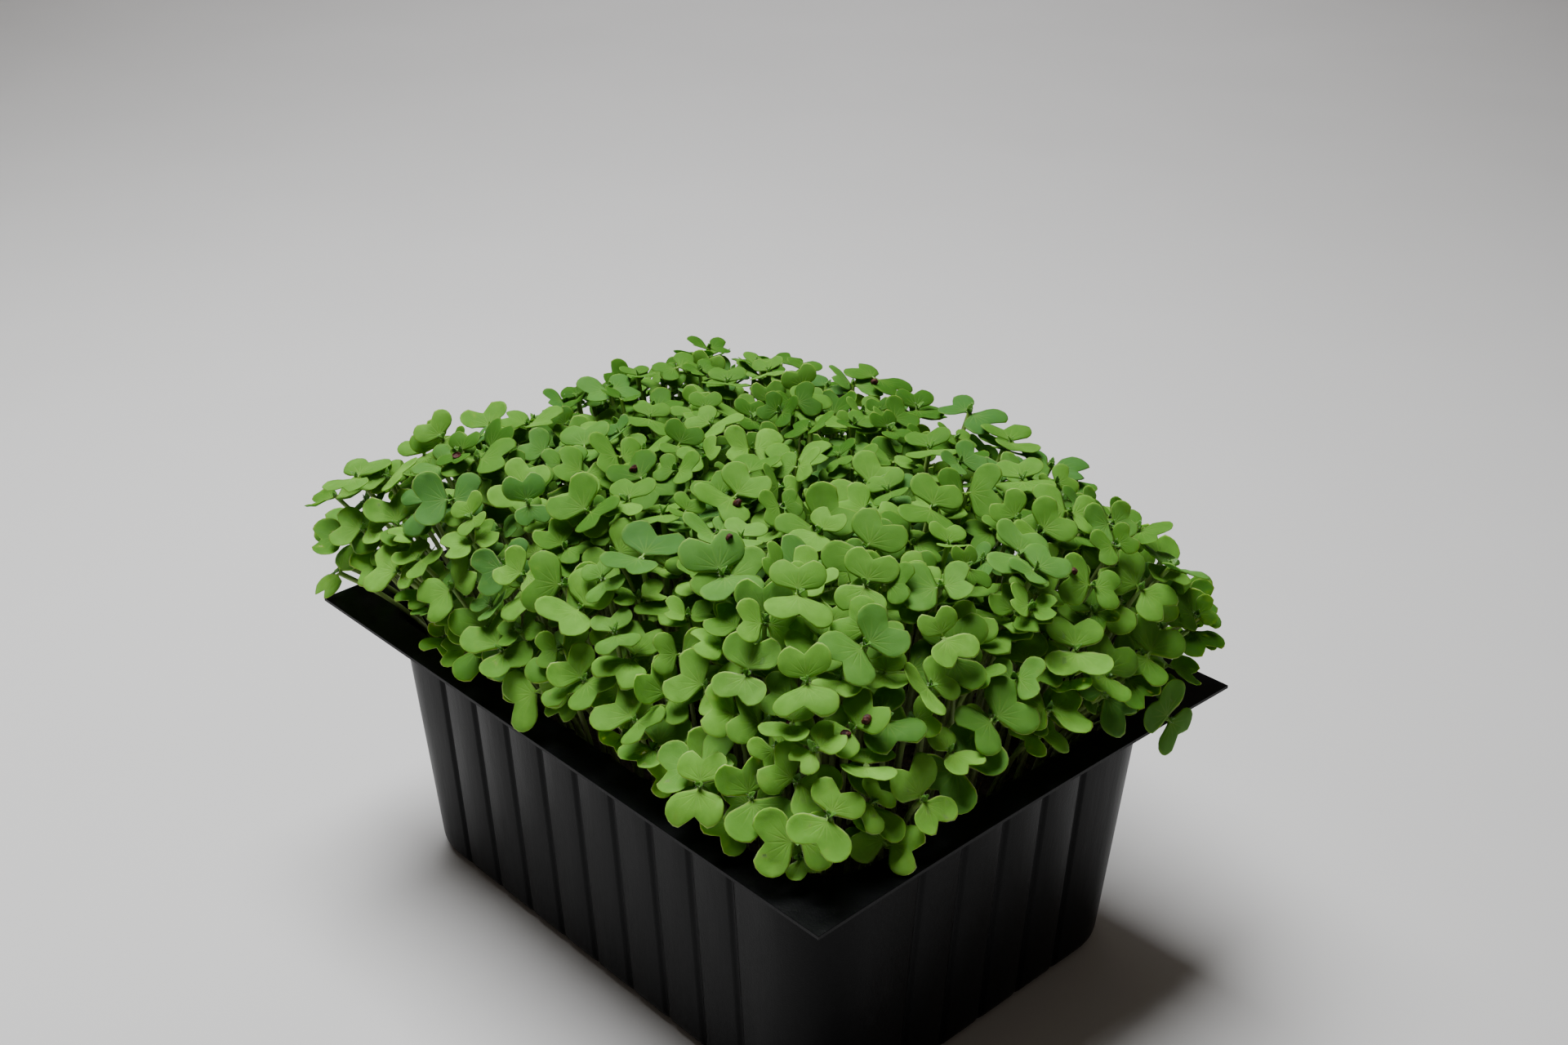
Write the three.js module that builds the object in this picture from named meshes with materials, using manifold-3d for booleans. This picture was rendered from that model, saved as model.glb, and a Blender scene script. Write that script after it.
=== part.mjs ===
// Brassica microgreens, at the seed-leaf stage, growing in a fluted black plastic punnet.
//
// Millimetres, +Z up. X runs along the punnet's long side and Y along its short side. The origin is the
// centre of the punnet's base, on the table. Everything random is drawn from one seeded sequence.
import * as THREE from 'three';
import { mergeVertices } from 'three/addons/utils/BufferGeometryUtils.js';
import Module from 'manifold-3d';

const wasm = await Module();
wasm.setup();

// ---- Punnet: one thermoformed sheet ----
const RIM_LENGTH = 178;
const RIM_WIDTH = 132;
const HEIGHT = 71;
const SHEET = 0.9;
const FLANGE = 9; // width of the flat flange round the mouth
const RIM_LIFT = 1; // how far the flange curls up in the middle of each short side
const DRAFT = 0.061; // how far the walls lean in for each millimetre down
const CORNER_RADIUS = 16.3;
const CORNER_STEPS = 6;
const BASE_RADIUS = 4;
const FLUTE_PITCH = 13.2;
const FLUTE_WIDTH = 3;
const FLUTE_DEPTH = 0.8;
const LONG_SIDE_FLUTES = 9;
const SHORT_SIDE_FLUTES = 5;

// ---- Growing medium, with a plain hole for the root plug of each bunch ----
const GAP = 0.35; // clearance between solids
const MEDIUM_TOP = 56;
const PLUG_SIDES = 5;
const PLUG_RADIUS = 3.5;
const PLUG_DEPTH = 8;

// ---- Sowing: bunches in a grid, up to three seedlings in each ----
const SEED = 3;
const COLUMNS = 9;
const ROWS = 6;
const BUNCH_SIZE = 3;
const SOWN_X = 71; // half the length and width of the grid of root plugs
const SOWN_Y = 48.5;
const SOWN_ROUNDING = 0.07; // how far the grid's corners draw in, to stay inside the round corners
const SITE_SCATTER = 1.2;
const STEM_CIRCLE = 1.9; // radius at which the stems of a bunch leave their plug
const SPLAY = 0.905; // how far out the outer bunches lean, as a share of the canopy
const NEAR_PULL = 0.06; // how far the plants of the +X -Y corner stand back from that
const BUNCH_SPREAD = 6.8; // radius of a bunch at its leaves
const BUNCH_TWIST = 0.35; // how far, in radians, a bunch may be turned from facing straight out
const AIM_SCATTER = 2.5;
const TRIES = 240; // how often a seedling is redrawn before its place is left empty

// ---- Canopy: heights above the rim ----
const CANOPY_X = 88;
const CANOPY_Y = 65;
const PEAK = 47;
const SIDE_HEIGHT = 27;
const NEAR_CORNER_HEIGHT = 0;
const FAR_CORNER_HEIGHT = 30;
const RIGHT_CORNER_HEIGHT = 14; // at the +X +Y corner
const FAR_SIDE_BULGE = 18; // how much taller the edge is in the middle of the +Y side
const SHOULDER = 26; // how far in from the edge the canopy levels out
const NEAR_SHOULDER = 52; // the same at the near corner
const LEAF_RISE = 3; // how far the leaf tips stand above the top of the stem
// How deep each seedling of a bunch stands in the canopy, as a share of the canopy's height
const DEPTHS = [[0, 0.06], [0.07, 0.32], [0.1, 0.36]];

// ---- Seedling ----
const STEM_WIDTH = 1.1;
const STEM_SUNK = 2; // how far the stem runs down into its plug
const ELBOW_HEIGHT = 0.45; // where the stem bends outward, as a share of its height
const ELBOW_LEAN = 0.3; // how much of its lean lies below the bend
const LIGHT_TILT = [0.2, -0.18]; // how far all the leaves tip towards the light, along X and Y
const OUTWARD_TILT = 0.45; // how far they tip outward at the canopy's edge
const TILT_SCATTER = 0.3;
const LEAF_THICKNESS = 0.7;
const LEAF_SIZE = [0.9, 1.06]; // the larger leaf of a pair, next to the lobe below
const PARTNER_SIZE = [0.8, 0.95]; // the smaller one, next to the larger
const LEAF_LIFT = [0.04, 0.56]; // slope of the leaf away from the stem, in radians
const LEAF_FOLD = [-0.1, 0.24]; // slope of the lobes away from the midrib
const LEAF_CURL = [0, 0.022]; // how much the leaf's end bends down
// One lobe of a seed leaf: distance from the stem, and distance out from the midrib
const LOBE = { back: [2.1, 4.6], side: [5.3, 7.6], front: [9.3, 4.6] };
const NOTCH = 7.3;

const TOLERANCE = 0.001; // in comparing lengths and angles
const { hypot, abs, max, sin, cos, tan, PI } = Math;
const vector = (x, y, z) => new THREE.Vector3(x, y, z);

// Park and Miller's sequence, which any language can repeat exactly
let state = SEED;
function random() {
  state = (state * 48271) % 2147483647;
  return state / 2147483647;
}

function between(low, high) {
  return low + (high - low) * random();
}

// ---- Solids ----

function geometryFrom(positions, indices) {
  const geometry = new THREE.BufferGeometry();
  geometry.setAttribute('position', new THREE.Float32BufferAttribute(positions, 3));
  geometry.setIndex(indices);
  return geometry;
}

function solidFrom(geometry) {
  const vertProperties = new Float32Array(geometry.attributes.position.array);
  const triVerts = new Uint32Array(geometry.index.array);
  return new wasm.Manifold(new wasm.Mesh({ numProp: 3, vertProperties, triVerts }));
}

function geometryOf(solid) {
  const mesh = solid.getMesh();
  return geometryFrom(mesh.vertProperties, Array.from(mesh.triVerts));
}

// A closed body from a stack of loops with as many points each, capped from a centre point at both ends
function stackOfLoops(firstCentre, loops, lastCentre) {
  const count = loops[0].length;
  const points = [firstCentre, ...loops.flat(), lastCentre];
  const last = points.length - 1;
  const indices = [];
  for (let i = 0; i < count; i++) {
    const next = (i + 1) % count;
    indices.push(0, 1 + next, 1 + i);
    for (let level = 1; level < loops.length; level++) {
      const below = 1 + (level - 1) * count;
      const above = 1 + level * count;
      indices.push(below + i, below + next, above + next);
      indices.push(below + i, above + next, above + i);
    }
    indices.push(last, last - count + i, last - count + next);
  }
  return geometryFrom(points.flat(), indices);
}

// A prism that stands on end with its top at a height
function uprightPrism(radius, x, y, top, depth) {
  const prism = new THREE.CylinderGeometry(radius, radius, depth, PLUG_SIDES);
  prism.deleteAttribute('normal');
  prism.deleteAttribute('uv');
  prism.rotateX(PI / 2);
  prism.translate(x, y, top - depth / 2);
  return solidFrom(mergeVertices(prism));
}

// ---- Punnet ----

// The outline's stations, counter-clockwise from the +X side: three across each flute, then the corner
function outlineStations(withFlutes) {
  const stations = [];
  for (let side = 0; side < 4; side++) {
    const flutes = side % 2 ? LONG_SIDE_FLUTES : SHORT_SIDE_FLUTES;
    for (let i = 0; withFlutes && i < flutes; i++) {
      const centre = (i - (flutes - 1) / 2) * FLUTE_PITCH;
      stations.push({ side, along: centre - FLUTE_WIDTH / 2, flute: 0 });
      stations.push({ side, along: centre, flute: 1 });
      stations.push({ side, along: centre + FLUTE_WIDTH / 2, flute: 0 });
    }
    for (let i = 0; i <= CORNER_STEPS; i++) {
      stations.push({ side, turn: ((i / CORNER_STEPS) * PI) / 2 });
    }
  }
  return stations;
}

// From a side's own directions, out and along, to X and Y
function turnedToSide(side, out, along) {
  const quarter = (side * PI) / 2;
  return [out * cos(quarter) - along * sin(quarter), out * sin(quarter) + along * cos(quarter)];
}

// The wall's outline at a height, inset from the outer face
function wallLoop(stations, z, inset, fluteDepth) {
  const shrink = FLANGE + DRAFT * (HEIGHT - z) + inset;
  const half = [RIM_LENGTH / 2 - shrink, RIM_WIDTH / 2 - shrink];
  const radius = CORNER_RADIUS - inset;
  return stations.map(({ side, along, flute, turn }) => {
    const out = half[side % 2];
    const end = half[(side + 1) % 2] - radius;
    const local = turn === undefined
      ? [out - flute * fluteDepth, along]
      : [out - radius + radius * cos(turn), end + radius * sin(turn)];
    return [...turnedToSide(side, ...local), z];
  });
}

// The flange's square-cornered outline, lifted a little in the middle of the short sides
function rimLoop(stations, z) {
  const half = [RIM_LENGTH / 2, RIM_WIDTH / 2];
  const reach = FLANGE + CORNER_RADIUS;
  return stations.map(({ side, along, turn }) => {
    const out = half[side % 2];
    const end = half[(side + 1) % 2];
    let local = [out, along];
    if (turn !== undefined) {
      const beforeCorner = turn <= PI / 4 + TOLERANCE;
      const [outStart, endStart] = [out - reach, end - reach];
      local = beforeCorner ? [out, endStart + reach * tan(turn)] : [outStart + reach / tan(turn), end];
    }
    const [x, y] = turnedToSide(side, ...local);
    const onShortSide = abs(x) > half[0] - TOLERANCE;
    const lift = onShortSide ? RIM_LIFT * (1 - (y / half[1]) ** 2) : 0;
    return [x, y, z + lift];
  });
}

function punnet() {
  const stations = outlineStations(true);
  const bend = BASE_RADIUS * (1 - Math.SQRT1_2);
  const loops = [
    wallLoop(stations, 0, BASE_RADIUS, 0),
    wallLoop(stations, bend, bend, FLUTE_DEPTH / 2),
    wallLoop(stations, BASE_RADIUS, 0, FLUTE_DEPTH),
    wallLoop(stations, HEIGHT - SHEET, 0, FLUTE_DEPTH),
    rimLoop(stations, HEIGHT - SHEET),
    rimLoop(stations, HEIGHT),
    wallLoop(stations, HEIGHT, SHEET, FLUTE_DEPTH),
    wallLoop(stations, BASE_RADIUS + SHEET, SHEET, FLUTE_DEPTH),
    wallLoop(stations, SHEET, BASE_RADIUS, 0),
  ];
  return stackOfLoops([0, 0, 0], loops, [0, 0, SHEET]);
}

// ---- Growing medium ----

function growingMedium(bunches) {
  const stations = outlineStations(false);
  const clearance = SHEET + FLUTE_DEPTH + GAP;
  const floor = SHEET + GAP;
  const loops = [
    wallLoop(stations, floor, BASE_RADIUS + clearance, 0),
    wallLoop(stations, BASE_RADIUS + floor, clearance, 0),
    wallLoop(stations, MEDIUM_TOP, clearance, 0),
  ];
  const block = solidFrom(stackOfLoops([0, 0, floor], loops, [0, 0, MEDIUM_TOP]));
  const above = 1;
  const depth = PLUG_DEPTH + GAP + above;
  const holes = bunches.map(({ x, y }) => uprightPrism(PLUG_RADIUS + GAP, x, y, MEDIUM_TOP + above, depth));
  return geometryOf(block.subtract(wasm.Manifold.union(holes)));
}

// ---- Canopy ----

// Height of the highest leaves above the rim: level in the middle, and lower at the edges, most of all
// at the near corner, which is the +X -Y one
function canopyHeight(x, y) {
  const [u, v] = [x / CANOPY_X, y / CANOPY_Y];
  const near = max(0, (u - v) / 2);
  const far = max(0, (v - u) / 2);
  const right = max(0, (u + v) / 2) ** 2;
  const bulge = FAR_SIDE_BULGE * (1 - u ** 2) * max(0, v);
  const edgeHeight = SIDE_HEIGHT + bulge + (NEAR_CORNER_HEIGHT - SIDE_HEIGHT) * near
    + (FAR_CORNER_HEIGHT - SIDE_HEIGHT) * far + (RIGHT_CORNER_HEIGHT - SIDE_HEIGHT) * right;
  const shoulder = SHOULDER + (NEAR_SHOULDER - SHOULDER) * near;
  const fromEdge = Math.min(CANOPY_X - abs(x), CANOPY_Y - abs(y));
  const slope = max(0, 1 - max(0, fromEdge) / shoulder);
  return PEAK + (edgeHeight - PEAK) * slope ** 2;
}

// ---- Keeping seedlings clear of each other and of the punnet ----
// Each lobe and each length of stem is a convex set of points with a radius round it.

function convexPart(points, radius, main) {
  const middle = vector(0, 0, 0);
  points.forEach((point) => middle.add(point));
  middle.divideScalar(points.length);
  const reach = max(...points.map((point) => point.distanceTo(middle))) + radius;
  return { points, radius, main, middle, reach };
}

function span(part, direction) {
  const along = part.points.map((point) => point.dot(direction));
  return [Math.min(...along) - part.radius, max(...along) + part.radius];
}

// Two convex parts are apart if some direction shows a gap between them
function apart(one, other) {
  const offset = other.middle.clone().sub(one.middle);
  if (offset.length() > one.reach + other.reach + GAP) return true;
  const directions = [
    offset,
    one.main,
    other.main,
    offset.clone().projectOnPlane(one.main),
    offset.clone().projectOnPlane(other.main),
    one.main.clone().cross(other.main),
  ];
  return directions.some((direction) => {
    if (direction.length() < TOLERANCE) return false;
    const unit = direction.clone().normalize();
    const [low, high] = span(one, unit);
    const [otherLow, otherHigh] = span(other, unit);
    return otherLow - high > GAP || low - otherHigh > GAP;
  });
}

// Above the rim, outside it, or inside the mouth and above the medium
function clearOfPunnet(point, radius) {
  const space = radius + GAP;
  if (point.z > HEIGHT + RIM_LIFT + space) return true;
  if (abs(point.x) > RIM_LENGTH / 2 + space || abs(point.y) > RIM_WIDTH / 2 + space) return true;
  const cornerInset = FLANGE + DRAFT * (HEIGHT - point.z) + CORNER_RADIUS;
  const pastX = max(0, abs(point.x) - (RIM_LENGTH / 2 - cornerInset));
  const pastY = max(0, abs(point.y) - (RIM_WIDTH / 2 - cornerInset));
  return hypot(pastX, pastY) < CORNER_RADIUS - SHEET - FLUTE_DEPTH - space;
}

function partClearOfPunnet(part) {
  const start = part.points[0];
  return part.points.every((point) => [1, 0.75, 0.5, 0.25].every(
    (share) => clearOfPunnet(start.clone().lerp(point, share), part.radius),
  ));
}

// ---- Seedling ----

// One seed leaf, heading away from the top of the stem
function drawLeaf(node, heading, across, up, size) {
  const lift = between(...LEAF_LIFT);
  const fold = between(...LEAF_FOLD);
  const curl = between(...LEAF_CURL);
  const direction = heading.clone().multiplyScalar(cos(lift)).addScaledVector(up, sin(lift));
  const normal = up.clone().multiplyScalar(cos(lift)).addScaledVector(heading, -sin(lift));
  const at = (along, out) => node.clone()
    .addScaledVector(direction, along * size)
    .addScaledVector(across, out * size)
    .addScaledVector(normal, (fold * abs(out) - curl * along * along) * size);
  const lobe = (sign) => [LOBE.back, LOBE.side, LOBE.front].map(([along, out]) => at(along, sign * out));
  return { normal, notch: at(NOTCH, 0), left: lobe(1), right: lobe(-1) };
}

// A lobe as a convex part: its corners, the notch and the top of the stem
function lobePart(node, notch, [back, side, front]) {
  const normal = front.clone().sub(back).cross(side.clone().sub(notch)).normalize();
  return convexPart([node, back, side, front, notch], LEAF_THICKNESS / 2, normal);
}

function stemPart(upper, lower) {
  return convexPart([upper, lower], STEM_WIDTH * Math.SQRT1_2, lower.clone().sub(upper).normalize());
}

// Draw a whole seedling: the same number of draws each time, whatever comes of them
function drawSeedling(root, aim, depths) {
  const x = aim.x + between(-AIM_SCATTER, AIM_SCATTER);
  const y = aim.y + between(-AIM_SCATTER, AIM_SCATTER);
  const z = HEIGHT + canopyHeight(x, y) * (1 - between(...depths)) - LEAF_RISE;
  const node = vector(x, y, z);
  const tilt = [x / CANOPY_X, y / CANOPY_Y].map(
    (outward, i) => LIGHT_TILT[i] + OUTWARD_TILT * outward ** 3 + between(-TILT_SCATTER, TILT_SCATTER),
  );
  const up = vector(...tilt, 1).normalize();
  const turn = between(0, 2 * PI);
  const heading = vector(cos(turn), sin(turn), 0).projectOnPlane(up).normalize();
  const across = up.clone().cross(heading);
  const size = between(...LEAF_SIZE);
  const partner = size * between(...PARTNER_SIZE);
  const leaves = [
    drawLeaf(node, heading, across, up, size),
    drawLeaf(node, heading.clone().negate(), across.clone().negate(), up, partner),
  ];
  const elbow = root.clone().lerp(vector(x, y, root.z), ELBOW_LEAN);
  elbow.z += (z - root.z) * ELBOW_HEIGHT;
  const lobes = leaves.flatMap(
    ({ notch, left, right }) => [lobePart(node, notch, left), lobePart(node, notch, right)],
  );
  const parts = [...lobes, stemPart(elbow, root), stemPart(node, elbow)];
  return { root, elbow, node, up, heading, across, leaves, parts };
}

// Sow the bunches, and redraw each seedling until it is clear of all that came before it
function sow() {
  const placed = [];
  const bunches = [];
  for (let column = 0; column < COLUMNS; column++) {
    for (let row = 0; row < ROWS; row++) {
      const u = (2 * column) / (COLUMNS - 1) - 1;
      const v = (2 * row) / (ROWS - 1) - 1;
      const rounding = 1 - SOWN_ROUNDING * u * u * v * v;
      const x = SOWN_X * u * rounding + between(-SITE_SCATTER, SITE_SCATTER);
      const y = SOWN_Y * v * rounding + between(-SITE_SCATTER, SITE_SCATTER);
      const pull = 1 - NEAR_PULL * max(0, (u - v) / 2) ** 2;
      const aim = vector(CANOPY_X * u, CANOPY_Y * v, 0).multiplyScalar(SPLAY * pull);
      const firstAngle = Math.atan2(v, u) + PI / BUNCH_SIZE + between(-BUNCH_TWIST, BUNCH_TWIST);
      bunches.push({ x, y, aim, firstAngle, seedlings: [] });
    }
  }
  const isClear = ({ parts }) => parts.every(partClearOfPunnet)
    && parts.every((part) => placed.every((other) => apart(part, other)));
  for (let turn = 0; turn < BUNCH_SIZE; turn++) {
    for (const bunch of bunches) {
      const angle = bunch.firstAngle + (turn * 2 * PI) / BUNCH_SIZE;
      const outward = vector(cos(angle), sin(angle), 0);
      const root = vector(bunch.x, bunch.y, MEDIUM_TOP).addScaledVector(outward, STEM_CIRCLE);
      const aim = bunch.aim.clone().addScaledVector(outward, BUNCH_SPREAD);
      for (let attempt = 0; attempt < TRIES; attempt++) {
        const seedling = drawSeedling(root, aim, DEPTHS[turn]);
        if (isClear(seedling)) {
          bunch.seedlings.push(seedling);
          placed.push(...seedling.parts);
          break;
        }
      }
    }
  }
  return bunches;
}

// A leaf's faces, the same above and below: fan-like over each lobe from the notch and the stem
const LEAF_TRIANGLES = [[0, 1, 5], [1, 2, 5], [2, 4, 5], [2, 3, 4], [0, 5, 8], [5, 6, 8], [6, 7, 8]];

function seedlingSolid({ root, elbow, node, up, heading, across, leaves }) {
  const half = STEM_WIDTH / 2;
  const points = [];
  const indices = [];
  const add = (point) => points.push(point) - 1;
  const offset = (centre, alongBy, acrossBy, upBy) => centre.clone()
    .addScaledVector(heading, alongBy * half)
    .addScaledVector(across, acrossBy * half)
    .addScaledVector(up, upBy * (LEAF_THICKNESS / 2));

  // Square stem, from below the surface of the medium to the underside of the leaves
  const sunk = vector(root.x, root.y, root.z - STEM_SUNK);
  const corners = [[1, 1], [-1, 1], [-1, -1], [1, -1]];
  const rings = [sunk, elbow, node].map(
    (centre) => corners.map(([a, b]) => add(offset(centre, a, b, centre === node ? -1 : 0))),
  );
  for (let level = 0; level < 2; level++) {
    const [below, above] = [rings[level], rings[level + 1]];
    for (let i = 0; i < 4; i++) {
      const next = (i + 1) % 4;
      indices.push(below[i], below[next], above[next], below[i], above[next], above[i]);
    }
  }
  const [foot, , top] = rings;
  indices.push(foot[0], foot[3], foot[2], foot[0], foot[2], foot[1]);

  // Both leaves start from one ridge over the top of the stem
  const ridgeLeft = add(offset(node, 0, 1, 1));
  const ridgeRight = add(offset(node, 0, -1, 1));
  indices.push(top[0], top[1], ridgeLeft, top[2], top[3], ridgeRight);
  const bases = [
    { below: [top[3], top[0]], above: [ridgeRight, ridgeLeft] },
    { below: [top[1], top[2]], above: [ridgeLeft, ridgeRight] },
  ];
  leaves.forEach(({ normal, notch, left, right }, which) => {
    const outline = [...left, notch, ...right.slice().reverse()];
    const face = (side) => outline.map((point) => add(point.clone().addScaledVector(normal, side)));
    const below = [...bases[which].below, ...face(-LEAF_THICKNESS / 2)];
    const above = [...bases[which].above, ...face(LEAF_THICKNESS / 2)];
    for (const [a, b, c] of LEAF_TRIANGLES) {
      indices.push(below[a], below[b], below[c], above[c], above[b], above[a]);
    }
    for (let i = 1; i < below.length; i++) {
      const next = (i + 1) % below.length;
      indices.push(below[next], below[i], above[i], below[next], above[i], above[next]);
    }
  });
  return solidFrom(geometryFrom(points.flatMap((point) => point.toArray()), indices));
}

// A bunch: its seedlings, joined by the plug of roots that sits in the medium
function bunchGeometry({ x, y, seedlings }) {
  const plug = uprightPrism(PLUG_RADIUS, x, y, MEDIUM_TOP, PLUG_DEPTH);
  return geometryOf(seedlings.reduce((solid, seedling) => solid.add(seedlingSolid(seedling)), plug));
}

// ---- The object ----

const plastic = new THREE.MeshStandardMaterial({ color: 0x17181a, roughness: 0.42, metalness: 0 });
const substrate = new THREE.MeshStandardMaterial({ color: 0x1e1611, roughness: 0.95, metalness: 0 });
const foliage = new THREE.MeshStandardMaterial({ color: 0x6c9c34, roughness: 0.5, metalness: 0 });

function piece(name, geometry, material) {
  const mesh = new THREE.Mesh(geometry, material);
  mesh.name = name;
  return mesh;
}

const tray = new THREE.Group();
const bunches = sow().filter((bunch) => bunch.seedlings.length > 0);
tray.add(piece('punnet', punnet(), plastic));
tray.add(piece('growing_medium', growingMedium(bunches), substrate));
bunches.forEach((bunch, i) => {
  tray.add(piece(`seedlings_${String(i + 1).padStart(2, '0')}`, bunchGeometry(bunch), foliage));
});

export default tray;
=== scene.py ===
from math import atan2, cos, hypot, pi, radians, sin, sqrt, tan
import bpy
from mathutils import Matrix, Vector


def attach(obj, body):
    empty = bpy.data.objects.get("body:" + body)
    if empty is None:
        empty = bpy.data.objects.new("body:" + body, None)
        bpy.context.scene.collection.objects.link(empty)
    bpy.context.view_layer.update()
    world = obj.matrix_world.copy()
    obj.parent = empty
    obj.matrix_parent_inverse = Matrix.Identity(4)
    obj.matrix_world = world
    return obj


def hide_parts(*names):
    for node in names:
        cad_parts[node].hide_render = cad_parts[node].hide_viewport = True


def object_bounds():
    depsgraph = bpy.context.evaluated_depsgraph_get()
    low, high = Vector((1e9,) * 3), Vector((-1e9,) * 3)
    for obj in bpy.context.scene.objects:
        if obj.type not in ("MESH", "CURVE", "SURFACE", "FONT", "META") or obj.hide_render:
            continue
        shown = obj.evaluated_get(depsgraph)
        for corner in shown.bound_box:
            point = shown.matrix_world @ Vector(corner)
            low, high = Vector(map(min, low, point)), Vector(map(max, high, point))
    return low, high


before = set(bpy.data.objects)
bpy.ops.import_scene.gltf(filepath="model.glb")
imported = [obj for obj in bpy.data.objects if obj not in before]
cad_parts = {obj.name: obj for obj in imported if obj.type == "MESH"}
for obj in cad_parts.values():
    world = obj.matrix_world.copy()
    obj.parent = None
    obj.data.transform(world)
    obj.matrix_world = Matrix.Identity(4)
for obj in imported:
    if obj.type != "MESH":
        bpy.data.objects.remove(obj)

from types import SimpleNamespace

import bpy
import numpy as np
from mathutils import Matrix, Vector, noise
from mathutils.bvhtree import BVHTree

cad_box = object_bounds()
MM = 0.001
scene = bpy.context.scene

# ---- Camera ----
# It looks down over the tray's near corner, which is the +X -Y one, from 30 cm above the table.
CAMERA_PLACE = (0.283, -0.258, 0.2949)
CAMERA_HEADING, CAMERA_UP = (-0.6509, 0.6124, -0.4487), (-0.3307, 0.3033, 0.8937)
SENSOR_WIDTH, FOCAL_LENGTH = 36, 42.17  # in millimetres
forward = Vector(CAMERA_HEADING).normalized()
right = forward.cross(Vector(CAMERA_UP)).normalized()
upright = right.cross(forward)
lens = bpy.data.cameras.new("camera")
lens.sensor_width, lens.lens = SENSOR_WIDTH, FOCAL_LENGTH
camera = bpy.data.objects.new("camera", lens)
turned = Matrix((right, upright, -forward)).transposed().to_4x4()
camera.matrix_world = Matrix.Translation(CAMERA_PLACE) @ turned
scene.collection.objects.link(camera)
scene.camera = camera


# ---- Table and light ----
# The tray stands on a pale, matt table top, in soft light from above and a little from the -X side.
def operator(operation):
    return lambda wire, *values: wire.maths(operation, *values)


class Wire:
    """One value in a tree of nodes. Sums on it add their Math nodes to the tree."""

    __add__ = __radd__ = operator("ADD")
    __sub__ = operator("SUBTRACT")
    __mul__ = __rmul__ = operator("MULTIPLY")
    __truediv__ = operator("DIVIDE")
    __pow__ = operator("POWER")
    __abs__ = operator("ABSOLUTE")
    at_least, at_most = operator("MAXIMUM"), operator("MINIMUM")
    sine, cosine, root = operator("SINE"), operator("COSINE"), operator("SQRT")

    def __init__(self, tree, socket=None):
        self.tree = tree
        self.socket = socket

    def __rsub__(self, other):
        return self.maths("MULTIPLY_ADD", -1, other)

    def node(self, kind, settings=None, inputs=None, output=0):
        """Add a node of a kind, with its settings and then what goes into its sockets."""
        made = self.tree.nodes.new(kind)
        for name, value in (settings or {}).items():
            setattr(made, name, value)
        for name, value in (inputs or {}).items():
            if isinstance(value, Wire):
                self.tree.links.new(made.inputs[name], value.socket)
            else:
                made.inputs[name].default_value = value
        outputs = made.outputs
        return Wire(self.tree, outputs[output]) if len(outputs) else made

    def maths(self, operation, *values):
        return self.node("ShaderNodeMath", {"operation": operation}, dict(enumerate((self, *values))))

    def times(self, share):
        """This vector, so many times as long."""
        return self.node("ShaderNodeVectorMath", {"operation": "SCALE"}, {0: self, 3: share})

    def part(self, name):
        """One of the numbers in this vector: X, Y or Z."""
        return self.node("ShaderNodeSeparateXYZ", None, {0: self}, name)

    def vector(self, x, y, z):
        return self.node("ShaderNodeCombineXYZ", None, {0: x, 1: y, 2: z})

    def mixed(self, first, second):
        """A colour between two, by this share of the second."""
        return self.node("ShaderNodeMix", {"data_type": "RGBA"}, {0: self, 6: first, 7: second}, 2)

    def ramp(self, low, high):
        """0 up to one value, 1 from another, and smooth between."""
        settings = {"interpolation_type": "SMOOTHSTEP"}
        return self.node("ShaderNodeMapRange", settings, {0: self, 1: low, 2: high})


def begin_material(name):
    """A material, the start of its tree of nodes, and the place on the object that it shades."""
    material = bpy.data.materials.new(name)
    material.use_nodes = True
    material.node_tree.nodes.clear()
    wire = Wire(material.node_tree)
    return material, wire, wire.node("ShaderNodeTexCoord", None, None, "Object")


def finish_material(wire, **sockets):
    """End a material's tree in one Principled shader."""
    sockets = {name.replace("_", " "): value for name, value in sockets.items()}
    shader = wire.node("ShaderNodeBsdfPrincipled", None, sockets)
    wire.node("ShaderNodeOutputMaterial", None, {"Surface": shader})


def speckle(place, scale, detail=3, roughness=0.5):
    """Noise from 0 to 1, with so many lumps to a metre."""
    inputs = {"Vector": place, "Scale": scale, "Detail": detail, "Roughness": roughness}
    return place.node("ShaderNodeTexNoise", None, inputs)


def bumped(height, distance, strength=1.0):
    inputs = {"Strength": strength, "Distance": distance, "Height": height}
    return height.node("ShaderNodeBump", None, inputs)


def new_object(name, mesh):
    made = bpy.data.objects.new(name, mesh)
    scene.collection.objects.link(made)
    return made


table_material, wire, place = begin_material("table_top")
grain = speckle(place, 9, 2)
finish_material(
    wire,
    Specular_IOR_Level=0.3,
    Base_Color=grain.mixed((0.74, 0.735, 0.73, 1), (0.78, 0.775, 0.77, 1)),
    Roughness=grain * 0.1 + 0.6,
)
HALF_TABLE = 4
table_mesh = bpy.data.meshes.new("table")
corners = [(-1, -1), (1, -1), (1, 1), (-1, 1)]
table_mesh.from_pydata([(HALF_TABLE * x, HALF_TABLE * y, 0) for x, y in corners], [], [(0, 1, 2, 3)])
table_mesh.materials.append(table_material)
new_object("table", table_mesh)

room = bpy.data.worlds.new("room")
room.use_nodes = True
room.node_tree.nodes["Background"].inputs["Color"].default_value = (1, 0.86, 0.72, 1)
room.node_tree.nodes["Background"].inputs["Strength"].default_value = 0.08
scene.world = room


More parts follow.
